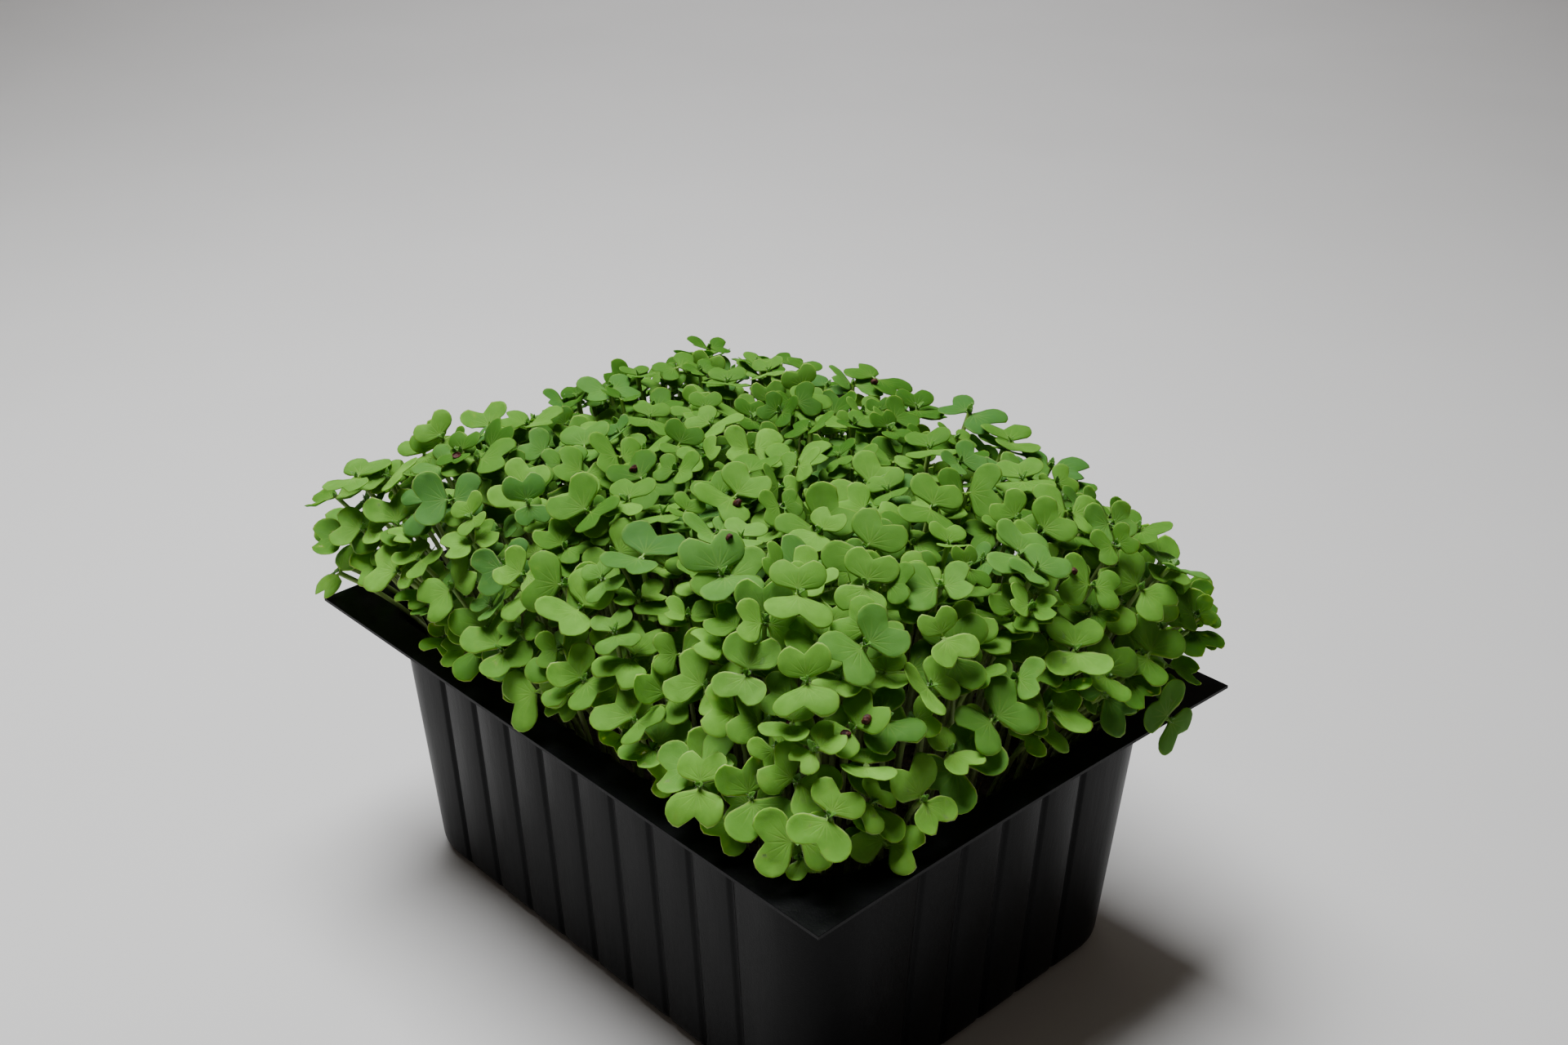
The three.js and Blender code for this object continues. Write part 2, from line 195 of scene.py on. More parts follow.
def hang_lamp(name, place, size, energy, colour, spread=180, target=(0, 0, 0)):
    """A square soft box at a place in metres, turned to a target, with a grid that narrows its light."""
    light = bpy.data.lights.new(name, "AREA")
    light.size = size
    light.energy = energy
    light.color = colour
    light.spread = radians(spread)
    lamp = bpy.data.objects.new(name, light)
    lamp.location = place
    lamp.rotation_euler = (Vector(target) - lamp.location).to_track_quat("-Z", "Y").to_euler()
    scene.collection.objects.link(lamp)


hang_lamp("soft_box", (-0.21, -0.01, 0.85), 0.46, 11.8, (0.98, 0.99, 1))
hang_lamp("far_box", (-0.95, 0.9, 1.2), 1.2, 3, (0.98, 0.98, 1), spread=70, target=(-0.95, 0.9, 0))


# ---- Punnet ----
# One sheet of black plastic, drawn down into a mould while hot, so its edges are soft and its gloss is
# satin. Upright flutes stiffen the walls, and the square flange is cut with a die. Lengths in millimetres.
RIM_LENGTH, RIM_WIDTH, HEIGHT = 178, 132, 71
SHEET = 0.9
FLANGE = 9
RIM_LIFT = 1
DRAFT = 0.061
CORNER_RADIUS = 16.3
CORNER_STEPS = 20
BASE_RADIUS = 4
FLUTE_PITCH, FLUTE_WIDTH, FLUTE_DEPTH = 13.2, 3, 0.8
FLUTES = (5, 9)  # on a short side and on a long side
FLUTE_STEPS = 8
BEND_STEPS = 6
LIP_RADIUS = 1.6
CUT_EDGE = 0.08  # how far the die's cut edge is rounded
WALL_STEPS = 14
TOLERANCE = 0.001
BASE_LOOPS = (24, 9)  # how far in from the wall they lie
FLANGE_LOOPS = (0.33, 0.67)  # how far across the flange they lie


def outline_stations():
    """The stations round the outline: side, how far along it, flute's depth, turn in a corner."""
    stations = []
    for side in range(4):
        flutes = FLUTES[side % 2]
        for flute in range(flutes):
            centre = (flute - (flutes - 1) / 2) * FLUTE_PITCH
            for step in range(-FLUTE_STEPS // 2, FLUTE_STEPS // 2 + 1):
                share = 2 * step / FLUTE_STEPS
                depth = cos(share * pi / 2) ** 2
                stations.append((side, centre + share * FLUTE_WIDTH / 2, depth, None))
        for step in range(CORNER_STEPS + 1):
            stations.append((side, None, 0, pi / 2 * step / CORNER_STEPS))
    return stations


def turned_to_side(side, out, along):
    for _ in range(side):
        out, along = -along, out
    return out, along


def wall_loop(stations, z, inset, flute_depth):
    """The wall's outline at a height, so far in from its outer face."""
    shrink = FLANGE + DRAFT * (HEIGHT - z) + inset
    half = (RIM_LENGTH / 2 - shrink, RIM_WIDTH / 2 - shrink)
    radius = CORNER_RADIUS - inset
    loop = []
    for side, along, depth, turn in stations:
        out, end = half[side % 2], half[(side + 1) % 2] - radius
        if turn is None:
            local = (out - depth * flute_depth, along)
        else:
            local = (out - radius + radius * cos(turn), end + radius * sin(turn))
        loop.append((*turned_to_side(side, *local), z))
    return loop


def rim_loop(stations, z, inset=0.0):
    """The flange's square outline, lifted a little in the middle of its short sides."""
    half = (RIM_LENGTH / 2 - inset, RIM_WIDTH / 2 - inset)
    reach = FLANGE + CORNER_RADIUS - inset
    loop = []
    for side, along, _, turn in stations:
        out, end = half[side % 2], half[(side + 1) % 2]
        local = (out, along)
        if turn is not None and turn <= pi / 4 + TOLERANCE:
            local = (out, end - reach + reach * tan(turn))
        elif turn is not None:
            local = (out - reach + reach / tan(turn), end)
        x, y = turned_to_side(side, *local)
        lift = RIM_LIFT * (1 - (y / half[1]) ** 2) if abs(x) > half[0] - TOLERANCE else 0
        loop.append((x, y, z + lift))
    return loop


def between_loops(first, second, share):
    return [tuple(a + (b - a) * share for a, b in zip(p, q)) for p, q in zip(first, second)]


def skin(first_centre, loops, last_centre):
    """A closed mesh from a stack of loops, with both ends closed in a centre point."""
    count = len(loops[0])
    points = [first_centre, *(point for loop in loops for point in loop), last_centre]
    last = len(points) - 1
    faces = []
    for i in range(count):
        following = (i + 1) % count
        faces.append((0, 1 + following, 1 + i))
        for level in range(1, len(loops)):
            below, above = 1 + (level - 1) * count, 1 + level * count
            faces.append((below + i, below + following, above + following, above + i))
        faces.append((last, last - count + i, last - count + following))
    mesh = bpy.data.meshes.new("skin")
    mesh.from_pydata([tuple(MM * value for value in point) for point in points], [], faces)
    return mesh


def punnet_mesh():
    stations = outline_stations()
    quarter = [step / BEND_STEPS * pi / 2 for step in range(BEND_STEPS + 1)]
    loops = []

    def wall(z, inset, flute_share):
        loops.append(wall_loop(stations, z, inset, FLUTE_DEPTH * flute_share))

    for inset in BASE_LOOPS:  # the base, from the middle out
        wall(0, inset, 0)
    for turn in quarter:  # round the heel
        wall(BASE_RADIUS * (1 - cos(turn)), BASE_RADIUS * (1 - sin(turn)), sin(turn) ** 2)
    underside = HEIGHT - SHEET
    for step in range(1, WALL_STEPS + 1):  # up the wall
        wall(BASE_RADIUS + (underside - LIP_RADIUS - BASE_RADIUS) * step / WALL_STEPS, 0, 1)
    for turn in quarter[1:]:  # out under the flange
        wall(underside - LIP_RADIUS * (1 - sin(turn)), -LIP_RADIUS * (1 - cos(turn)), cos(turn))
    mouth, rim = loops[-1], rim_loop(stations, underside, CUT_EDGE)
    for share in FLANGE_LOOPS:
        loops.append(between_loops(mouth, rim, share))
    cut_edge = ((SHEET, CUT_EDGE), (SHEET - CUT_EDGE, 0), (CUT_EDGE, 0), (0, CUT_EDGE))
    for depth, inset in cut_edge:
        loops.append(rim_loop(stations, HEIGHT - depth, inset))
    inner_lip = LIP_RADIUS + SHEET
    mouth = wall_loop(stations, HEIGHT, SHEET - inner_lip, 0)
    for share in FLANGE_LOOPS:
        loops.append(between_loops(loops[-1], mouth, share))
    for turn in quarter:  # over the lip and down the inside
        wall(HEIGHT - inner_lip * (1 - cos(turn)), SHEET - inner_lip * (1 - sin(turn)), sin(turn))
    drop = HEIGHT - inner_lip - BASE_RADIUS - SHEET
    for step in range(1, WALL_STEPS + 1):
        wall(HEIGHT - inner_lip - drop * step / WALL_STEPS, SHEET, 1)
    for turn in quarter[1:]:
        rise, into = BASE_RADIUS * (1 - sin(turn)), BASE_RADIUS * (1 - cos(turn))
        wall(SHEET + rise, SHEET + into, cos(turn) ** 2)
    return skin((0, 0, 0), loops, (0, 0, SHEET))


def drawn_out(place, share):
    """The place with its height cut to a share, which draws a pattern out upwards."""
    return place.node("ShaderNodeMapping", None, {"Vector": place, "Scale": (1, 1, share)})


plastic, wire, place = begin_material("black_sheet_plastic")
draw_marks = speckle(drawn_out(place, 0.12), 260, 4, 0.6)
pebble = speckle(place, 2600, 2)
dust = speckle(place, 95, 5, 0.7).ramp(0.56, 0.8)
pressed = place.part("Z").ramp((HEIGHT - 2) * MM, (HEIGHT - 0.5) * MM)  # the flange, dulled by the clamp
finish_material(
    wire,
    Specular_IOR_Level=0.1,
    IOR=1.5,
    Base_Color=dust.mixed((0.0035, 0.0037, 0.0042, 1), (0.008, 0.008, 0.0085, 1)),
    Roughness=draw_marks * 0.16 + dust * 0.12 + 0.3 - pressed * 0.04,
    Normal=bumped(draw_marks * 0.7 + pebble * 0.3, 0.00012),
)
shell_mesh = punnet_mesh()
shell_mesh.shade_smooth()
shell_mesh.set_sharp_from_angle(angle=radians(35))
shell_mesh.materials.append(plastic)
shell = new_object("punnet_shell", shell_mesh)
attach(shell, "root")
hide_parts("punnet")

# ---- Growing medium ----
# Damp coir and fine compost, pressed level into the punnet. Its top is loose crumbs and short fibres.
GAP = 0.35
MEDIUM_TOP = 56
MEDIUM_RINGS = 34
MEDIUM_ROUGHNESS = 0.9  # how far the top rises and falls
SWELLS = ((0.35, 0.6), (1.1, 0.4))  # how many to a millimetre, and their share of the roughness
EDGE_WIDTH, EDGE_DROP = 4, 0.8  # where the top meets the wall


def medium_mesh():
    stations = [station for station in outline_stations() if station[3] is not None or station[2] == 0]
    clearance = SHEET + FLUTE_DEPTH + GAP
    floor = SHEET + GAP
    loops = [
        wall_loop(stations, floor, BASE_RADIUS + clearance, 0),
        wall_loop(stations, BASE_RADIUS + floor, clearance, 0),
        wall_loop(stations, MEDIUM_TOP - EDGE_WIDTH, clearance, 0),
    ]
    edge = wall_loop(stations, MEDIUM_TOP, clearance, 0)
    for ring in range(MEDIUM_RINGS):
        share = 1 - ring / MEDIUM_RINGS
        loop = []
        for x, y, z in edge:
            where = Vector((x * share, y * share, 0))
            swell = sum(noise.noise(where * waves) * part for waves, part in SWELLS)
            drop = EDGE_DROP if ring == 0 else 0
            loop.append((where.x, where.y, z + MEDIUM_ROUGHNESS * swell - drop))
        loops.append(loop)
    return skin((0, 0, floor), loops, (0, 0, MEDIUM_TOP))


medium_material, wire, place = begin_material("damp_coir")
clods = speckle(place, 420, 6, 0.65)
pith = speckle(place, 1500, 3, 0.6)
dry = (clods * 0.6 + pith * 0.4).ramp(0.34, 0.68)
finish_material(
    wire,
    Specular_IOR_Level=0.35,
    Base_Color=dry.mixed((0.012, 0.008, 0.0055, 1), (0.075, 0.046, 0.028, 1)),
    Roughness=0.95 - pith * 0.25,
    Normal=bumped(clods * 0.7 + pith * 0.3, 0.0007),
)
block_mesh = medium_mesh()
block_mesh.shade_smooth()
block_mesh.materials.append(medium_material)
block = new_object("medium_block", block_mesh)
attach(block, "root")
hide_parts("growing_medium")


def begin_shape(name, **sizes):
    """Begin a tree of geometry nodes with a geometry input and one named input for each size."""
    tree = bpy.data.node_groups.new(name, "GeometryNodeTree")
    tree.interface.new_socket("Geometry", in_out="INPUT", socket_type="NodeSocketGeometry")
    tree.interface.new_socket("Geometry", in_out="OUTPUT", socket_type="NodeSocketGeometry")
    kinds = {int: "NodeSocketInt", float: "NodeSocketFloat"}
    for size, value in sizes.items():
        tree.interface.new_socket(size.replace("_", " "), in_out="INPUT", socket_type=kinds[type(value)])
    wire = Wire(tree)
    inputs = wire.node("NodeGroupInput")
    group = inputs.socket.node.outputs
    sockets = {size: Wire(tree, group[size.replace("_", " ")]) for size in sizes}
    return wire, inputs, SimpleNamespace(**sockets)


VECTOR = "FLOAT_VECTOR"


def trait(wire, name, kind="FLOAT"):
    return wire.node("GeometryNodeInputNamedAttribute", {"data_type": kind}, {"Name": name})


def keep(geometry, name, value, kind="FLOAT"):
    """Write a value on every point, for the shape or the material to read later."""
    inputs = {"Geometry": geometry, "Name": name, "Value": value}
    return geometry.node("GeometryNodeStoreNamedAttribute", {"data_type": kind}, inputs)


MEETING = 0.02  # points nearer than this, in millimetres, are made one


def moved(geometry, **to):
    """The geometry with its points at a Position, or moved by an Offset."""
    return geometry.node("GeometryNodeSetPosition", None, {"Geometry": geometry, **to})


def roughened(geometry, waves, detail, height):
    """The geometry with lumps pushed out of it, so many to a metre."""
    lumps = speckle(geometry.node("GeometryNodeInputPosition"), waves, detail)
    push = geometry.node("GeometryNodeInputNormal").times((lumps - 0.5) * height)
    return moved(geometry, Offset=push)


def strewn(surface, **inputs):
    """Points scattered over a surface."""
    inputs = {"Mesh": surface, **inputs}
    return surface.node("GeometryNodeDistributePointsOnFaces", None, inputs)


def ball(wire, fineness):
    return wire.node("GeometryNodeMeshIcoSphere", None, {"Radius": 1.0, "Subdivisions": fineness})


def facing(wire, upward, onward):
    """The turn that lays Z and X along two vectors, which are written on each point."""
    axes = {0: trait(wire, upward, VECTOR), 1: trait(wire, onward, VECTOR)}
    return wire.node("FunctionNodeAxesToRotation", {"primary_axis": "Z", "secondary_axis": "X"}, axes)


def all_round(size):
    """The same size in every direction."""
    return size.vector(size, size, size)


def copies(points, piece, turned, scale):
    """A piece on each point, turned and scaled."""
    inputs = {"Points": points, "Instance": piece, "Rotation": turned, "Scale": scale}
    return points.node("GeometryNodeInstanceOnPoints", None, inputs)


def realized(geometry):
    return geometry.node("GeometryNodeRealizeInstances", None, {0: geometry})


def merged(geometry):
    """The geometry with the points that meet made one, so that its ends are closed."""
    return geometry.node("GeometryNodeMergeByDistance", None, {"Geometry": geometry, "Distance": MEETING})


def finish_shape(geometry, material):
    geometry = realized(geometry)
    geometry = geometry.node("GeometryNodeSetShadeSmooth", None, {0: geometry})
    geometry = geometry.node("GeometryNodeSetMaterial", None, {0: geometry, "Material": material})
    geometry.node("NodeGroupOutput", None, {0: geometry})


def grown(name, start, tree, sizes):
    """A plain mesh object: what a tree of nodes makes of a starting mesh."""
    made = new_object(name, start)
    modifier = made.modifiers.new("shape", "NODES")
    modifier.node_group = tree
    for item in tree.interface.items_tree:
        if item.in_out == "INPUT" and item.socket_type != "NodeSocketGeometry":
            modifier[item.identifier] = sizes[item.name.replace(" ", "_")]
    settled = bpy.context.evaluated_depsgraph_get()
    mesh = bpy.data.meshes.new_from_object(made.evaluated_get(settled), depsgraph=settled)
    made.modifiers.remove(modifier)
    made.data = mesh
    mesh.name = name
    return made


CRUMBS = dict(Smallest=0.35 * MM, Largest=1.5 * MM, Roughness=0.9 * MM, Crumbs_to_a_square_metre=1e5, Seed=4)
wire, inputs, size = begin_shape("crumbs", **CRUMBS)
up_facing = wire.node("GeometryNodeInputNormal").part("Z").maths("GREATER_THAN", 0.5)
scattered = strewn(inputs, Selection=up_facing, Density=size.Crumbs_to_a_square_metre, Seed=size.Seed)


def random_value(wire, kind, output=0, **limits):
    return wire.node("FunctionNodeRandomValue", {"data_type": kind}, limits, output)


angles = random_value(wire, VECTOR, Max=(6.28, 6.28, 6.28), Seed=size.Seed)
stretched = random_value(wire, VECTOR, Min=(0.5, 0.5, 0.3), Max=(1, 1, 0.7))
lot = random_value(wire, "FLOAT", 1, Seed=size.Seed + 1)
girth = size.Smallest + (size.Largest - size.Smallest) * lot ** 3
turned = wire.node("FunctionNodeEulerToRotation", None, {0: angles})
placed = realized(copies(scattered, ball(wire, 2), turned, stretched.times(girth)))
finish_shape(roughened(placed, 900, 1, size.Roughness), medium_material)
crumbs = grown("medium_crumbs", block_mesh.copy(), wire.tree, CRUMBS)
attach(crumbs, "root")


class Draws:
    """Park and Miller's sequence, which is the same in any language."""

    def __init__(self, seed):
        self.state = seed

    def between(self, low, high):
        self.state = self.state * 48271 % 2147483647
        return low + (high - low) * (self.state / 2147483647)


def point_cloud(name, places, edges=(), **traits):
    """A mesh of points, in metres, with a value or vector for each point under every name."""
    mesh = bpy.data.meshes.new(name)
    mesh.from_pydata([tuple(place * MM) for place in places], list(edges), [])
    for key, values in traits.items():
        values = np.array(values, dtype=float)
        kind, field = (VECTOR, "vector") if values.ndim == 2 else ("FLOAT", "value")
        mesh.attributes.new(key, kind, "POINT").data.foreach_set(field, values.ravel())
    return mesh


def strand_tree(name, sizes, material):
    """Round strands that follow the edges of a point cloud, as thick as its girth says."""
    wire, inputs, size = begin_shape(name, **sizes)
    path = wire.node("GeometryNodeMeshToCurve", None, {0: inputs})
    ring = wire.node("GeometryNodeCurvePrimitiveCircle", None, {"Resolution": size.Sides, "Radius": 1.0})
    strand = {"Curve": path, "Profile Curve": ring, "Scale": trait(wire, "girth"), "Fill Caps": True}
    finish_shape(wire.node("GeometryNodeCurveToMesh", None, strand), material)
    return wire.tree


# Loose coir fibres lie on the crumbs, bent as they fell
FIBRES, FIBRE_POINTS = 260, 7
FIBRE_STEP, FIBRE_GIRTH, FIBRE_TURN = (0.8, 2.6), (0.06, 0.14), 0.6
FIBRE_LIFT, FIBRE_TIP = (0.2, 1.1), 0.5  # height above the medium, and how thick the ends are
FIBRE_REACH = (66, 43)
fibre_brown, wire, place = begin_material("coir_fibre")
husk = speckle(place, 700, 3)
finish_material(
    wire,
    Specular_IOR_Level=0.3,
    Base_Color=husk.ramp(0.35, 0.65).mixed((0.10, 0.055, 0.025, 1), (0.26, 0.16, 0.08, 1)),
    Roughness=husk * 0.3 + 0.6,
    Normal=bumped(husk, 0.0001),
)


def lay_fibres():
    draws = Draws(29)
    places, edges, girths = [], [], []
    for _ in range(FIBRES):
        x, y = (draws.between(-reach, reach) for reach in FIBRE_REACH)
        heading, step = draws.between(0, 2 * pi), draws.between(*FIBRE_STEP)
        girth = draws.between(*FIBRE_GIRTH)
        for i in range(FIBRE_POINTS):
            if i:
                edges.append((len(places) - 1, len(places)))
            places.append(np.array([x, y, MEDIUM_TOP + draws.between(*FIBRE_LIFT)]))
            girths.append(girth * MM * (FIBRE_TIP if i in (0, FIBRE_POINTS - 1) else 1))
            heading += draws.between(-FIBRE_TURN, FIBRE_TURN)
            x = min(FIBRE_REACH[0], max(-FIBRE_REACH[0], x + step * cos(heading)))
            y = min(FIBRE_REACH[1], max(-FIBRE_REACH[1], y + step * sin(heading)))
    return point_cloud("fibres", places, edges, girth=girths)


FIBRE = dict(Sides=4)
fibre_tree = strand_tree("fibres", FIBRE, fibre_brown)
fibres = grown("medium_fibres", lay_fibres(), fibre_tree, FIBRE)
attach(fibres, "root")

# ---- Sowing ----
# Brassica seedlings about ten days old, sown by hand as thick as they will grow. Bunches share a tangle of
# roots, and single seedlings come up between them. Every seedling is redrawn until it is clear of the rest.
SEED = 3
COLUMNS, ROWS, BUNCH_SIZE = 9, 6, 3
SOWN_X, SOWN_Y = 71, 48.5
SOWN_ROUNDING = 0.07
SITE_SCATTER = 1.2
STEM_CIRCLE = 1.9
SPLAY = 0.905
NEAR_PULL = 0.06
BUNCH_SPREAD = 6.8
BUNCH_TWIST = 0.35
AIM_SCATTER = 2.5
TRIES = 240
CANOPY_X, CANOPY_Y = 88, 65
PEAK = 47
SIDE_HEIGHT = 27
CORNER_HEIGHTS = (0, 30, 14)  # at the near corner, the far one and the +X +Y one
FAR_SIDE_BULGE = 18
SHOULDER, NEAR_SHOULDER = 26, 52
LEAF_RISE = 3
DEPTHS = [(0, 0.06), (0.07, 0.32), (0.1, 0.36)]
STEM_RADIUS = 1.1 * sqrt(0.5)
ELBOW_HEIGHT, ELBOW_LEAN = 0.45, 0.3
LIGHT_TILT = (0.2, -0.18)
OUTWARD_TILT, TILT_SCATTER = 0.45, 0.3
LEAF_THICKNESS = 0.7
LEAF_SIZE, PARTNER_SIZE = (0.9, 1.06), (0.8, 0.95)
LEAF_LIFT, LEAF_FOLD, LEAF_CURL = (0.04, 0.56), (-0.1, 0.24), (0, 0.022)
LOBE = [(0, 0), (2.1, 4.6), (5.3, 7.6), (9.3, 4.6), (7.3, 0)]
FINE_LOBE = [(0.5, 0), (1.9, 3.4), (3.1, 6.1), (5.4, 7.1), (7.8, 6.1), (9.1, 3.4), (6.8, 0)]
LOBE_CORNERS = {5: (0, 1, 2, 3, 4), 7: (0, 1, 3, 5, 6)}  # stem, back, side, front and notch
MOST_POINTS = 7
SHORTEST = 0.001  # a direction that is shorter shows nothing
STEM_CHECKS = (1, 0.75, 0.5, 0.25)  # where along a part it is held against the punnet


def canopy_height(x, y):
    """Height of the highest leaves above the rim."""
    u, v = x / CANOPY_X, y / CANOPY_Y
    near, far, beside = max(0, (u - v) / 2), max(0, (v - u) / 2), max(0, (u + v) / 2) ** 2
    edge_height = SIDE_HEIGHT + FAR_SIDE_BULGE * (1 - u * u) * max(0, v)
    for share, corner in zip((near, far, beside), CORNER_HEIGHTS):
        edge_height += (corner - SIDE_HEIGHT) * share
    shoulder = SHOULDER + (NEAR_SHOULDER - SHOULDER) * near
    from_edge = min(CANOPY_X - abs(x), CANOPY_Y - abs(y))
    slope = max(0, 1 - max(0, from_edge) / shoulder)
    return PEAK + (edge_height - PEAK) * slope ** 2


def unit(vector):
    return vector / np.linalg.norm(vector)


class Part:
    """A lobe or a length of stem, as a convex set of points with a radius round it."""

    def __init__(self, ends, radius, main):
        self.ends, self.radius, self.main = ends, radius, main
        self.points = np.array(ends + [ends[-1]] * (MOST_POINTS - len(ends)))
        self.middle = np.mean(ends, axis=0)
        self.reach = max(np.linalg.norm(point - self.middle) for point in ends) + radius


class Crowd:
    """Everything that stands already, with room for so many parts."""

    def __init__(self, room):
        self.count = 0
        self.points = np.zeros((room, MOST_POINTS, 3))
        self.middle, self.main = np.zeros((room, 3)), np.zeros((room, 3))
        self.reach, self.radius = np.zeros(room), np.zeros(room)

    def admit(self, parts):
        for part in parts:
            for name in ("points", "middle", "main", "reach", "radius"):
                getattr(self, name)[self.count] = getattr(part, name)
            self.count += 1

    def is_clear_of(self, part, gap):
        """Two convex parts are apart if some direction shows a gap between them."""
        away = np.linalg.norm(self.middle[:self.count] - part.middle, axis=1)
        near = np.nonzero(away <= part.reach + self.reach[:self.count] + gap)[0]
        offset, theirs = self.middle[near] - part.middle, self.main[near]
        mine = np.broadcast_to(part.main, offset.shape)
        across = [offset - main * np.sum(offset * main, axis=1, keepdims=True) for main in (mine, theirs)]
        directions = np.stack([offset, mine, theirs, *across, np.cross(mine, theirs)], axis=1)
        lengths = np.linalg.norm(directions, axis=2)
        directions = directions / np.maximum(lengths, SHORTEST)[:, :, None]
        my_span = directions @ part.points.T
        their_span = np.einsum("kdc,kpc->kdp", directions, self.points[near])
        spare = gap + part.radius + self.radius[near][:, None]
        gapped = (their_span.min(2) - my_span.max(2) > spare) | (my_span.min(2) - their_span.max(2) > spare)
        return bool(np.all(np.any(gapped & (lengths >= SHORTEST), axis=1)))


def clear_of_punnet(point, space):
    """Above the rim, outside it, or inside the mouth."""
    x, y, z = point
    if z > HEIGHT + RIM_LIFT + space:
        return True
    if abs(x) > RIM_LENGTH / 2 + space or abs(y) > RIM_WIDTH / 2 + space:
        return True
    inset = FLANGE + DRAFT * (HEIGHT - z) + CORNER_RADIUS
    past_x = max(0, abs(x) - (RIM_LENGTH / 2 - inset))
    past_y = max(0, abs(y) - (RIM_WIDTH / 2 - inset))
    return hypot(past_x, past_y) < CORNER_RADIUS - SHEET - FLUTE_DEPTH - space


def off_punnet(parts, gap):
    return all(
        clear_of_punnet(part.ends[0] + (point - part.ends[0]) * share, part.radius + gap)
        for part in parts
        for point in part.ends
        for share in STEM_CHECKS
    )


def all_clear(parts, crowd, gap):
    """Whether the parts are clear of the punnet and of the crowd."""
    return off_punnet(parts, gap) and all(crowd.is_clear_of(part, gap) for part in parts)


def on_leaf(node, leaf, along, out):
    """A point on a leaf, so far from the stem and so far out from its midrib."""
    bend = leaf["fold"] * abs(out) - leaf["curl"] * along * along
    flat = node + leaf["direction"] * along * leaf["size"] + leaf["across"] * out * leaf["size"]
    return flat + leaf["normal"] * bend * leaf["size"]


def draw_leaf(draws, heading, across, up, size, lifts):
    lift, fold, curl = (draws.between(*limits) for limits in (lifts, LEAF_FOLD, LEAF_CURL))
    direction = heading * cos(lift) + up * sin(lift)
    normal = up * cos(lift) - heading * sin(lift)
    return dict(direction=direction, across=across, normal=normal, size=size, fold=fold, curl=curl)


def draw_seedling(draws, root, aim, depths, sizes=LEAF_SIZE, light=LIGHT_TILT, tilt_scatter=TILT_SCATTER):
    x, y = (value + draws.between(-AIM_SCATTER, AIM_SCATTER) for value in aim)
    z = HEIGHT + canopy_height(x, y) * (1 - draws.between(*depths)) - LEAF_RISE
    node = np.array([x, y, z])
    tilt = [
        lean + OUTWARD_TILT * outward ** 3 + draws.between(-tilt_scatter, tilt_scatter)
        for lean, outward in zip(light, (x / CANOPY_X, y / CANOPY_Y))
    ]
    up = unit(np.array([*tilt, 1]))
    return open_leaves(draws, root, node, up, draws.between(0, 2 * pi), sizes)


def open_leaves(draws, root, node, up, turn, sizes, lifts=LEAF_LIFT):
    """The stem to the node, and the pair of leaves that opens there, turned about its upward direction."""
    heading = np.array([cos(turn), sin(turn), 0])
    heading = unit(heading - up * np.dot(heading, up))
    across = np.cross(up, heading)
    size = draws.between(*sizes)
    partner = size * draws.between(*PARTNER_SIZE)
    leaves = [draw_leaf(draws, heading, across, up, size, lifts)]
    leaves.append(draw_leaf(draws, -heading, -across, up, partner, lifts))
    elbow = root + (np.array([node[0], node[1], root[2]]) - root) * ELBOW_LEAN
    elbow[2] += (node[2] - root[2]) * ELBOW_HEIGHT
    return dict(root=root, elbow=elbow, node=node, up=up, leaves=leaves)


def lobe_parts(seedling, outline, radius):
    """Each lobe as a convex part, with its corners from the back round to the front."""
    node, parts = seedling["node"], []
    for leaf in seedling["leaves"]:
        for side in (1, -1):
            corners = [on_leaf(node, leaf, along, side * out) for along, out in outline]
            first, back, outer, front, notch = (corners[i] for i in LOBE_CORNERS[len(corners)])
            main = unit(np.cross(front - back, outer - notch))
            parts.append(Part(corners, radius, main))
    return parts


def stem_parts(seedling, radius):
    lengths = ((seedling["elbow"], seedling["root"]), (seedling["node"], seedling["elbow"]))
    return [Part([upper, lower], radius, unit(lower - upper)) for upper, lower in lengths]


def sown_place(u, v):
    """A place in the medium from its shares of the sown length and width."""
    rounding = 1 - SOWN_ROUNDING * u * u * v * v
    return SOWN_X * u * rounding, SOWN_Y * v * rounding


def near_pull(u, v):
    return 1 - NEAR_PULL * max(0, (u - v) / 2) ** 2


def sow_bunches():
    draws, crowd, bunches = Draws(SEED), Crowd(1000), []
    for column in range(COLUMNS):
        for row in range(ROWS):
            u, v = 2 * column / (COLUMNS - 1) - 1, 2 * row / (ROWS - 1) - 1
            x, y = (value + draws.between(-SITE_SCATTER, SITE_SCATTER) for value in sown_place(u, v))
            pull = near_pull(u, v)
            aim = (CANOPY_X * u * SPLAY * pull, CANOPY_Y * v * SPLAY * pull)
            first_angle = atan2(v, u) + pi / BUNCH_SIZE + draws.between(-BUNCH_TWIST, BUNCH_TWIST)
            bunches.append((x, y, aim, first_angle, []))
    for turn in range(BUNCH_SIZE):
        for x, y, aim, first_angle, seedlings in bunches:
            angle = first_angle + turn * 2 * pi / BUNCH_SIZE
            root = np.array([x + STEM_CIRCLE * cos(angle), y + STEM_CIRCLE * sin(angle), MEDIUM_TOP])
            target = (aim[0] + BUNCH_SPREAD * cos(angle), aim[1] + BUNCH_SPREAD * sin(angle))
            for _ in range(TRIES):
                seedling = draw_seedling(draws, root, target, DEPTHS[turn])
                parts = lobe_parts(seedling, LOBE, LEAF_THICKNESS / 2) + stem_parts(seedling, STEM_RADIUS)
                if all_clear(parts, crowd, GAP):
                    seedlings.append(seedling)
                    crowd.admit(parts)
                    break
    return [seedling for bunch in bunches for seedling in bunch[4]]


bunched = sow_bunches()

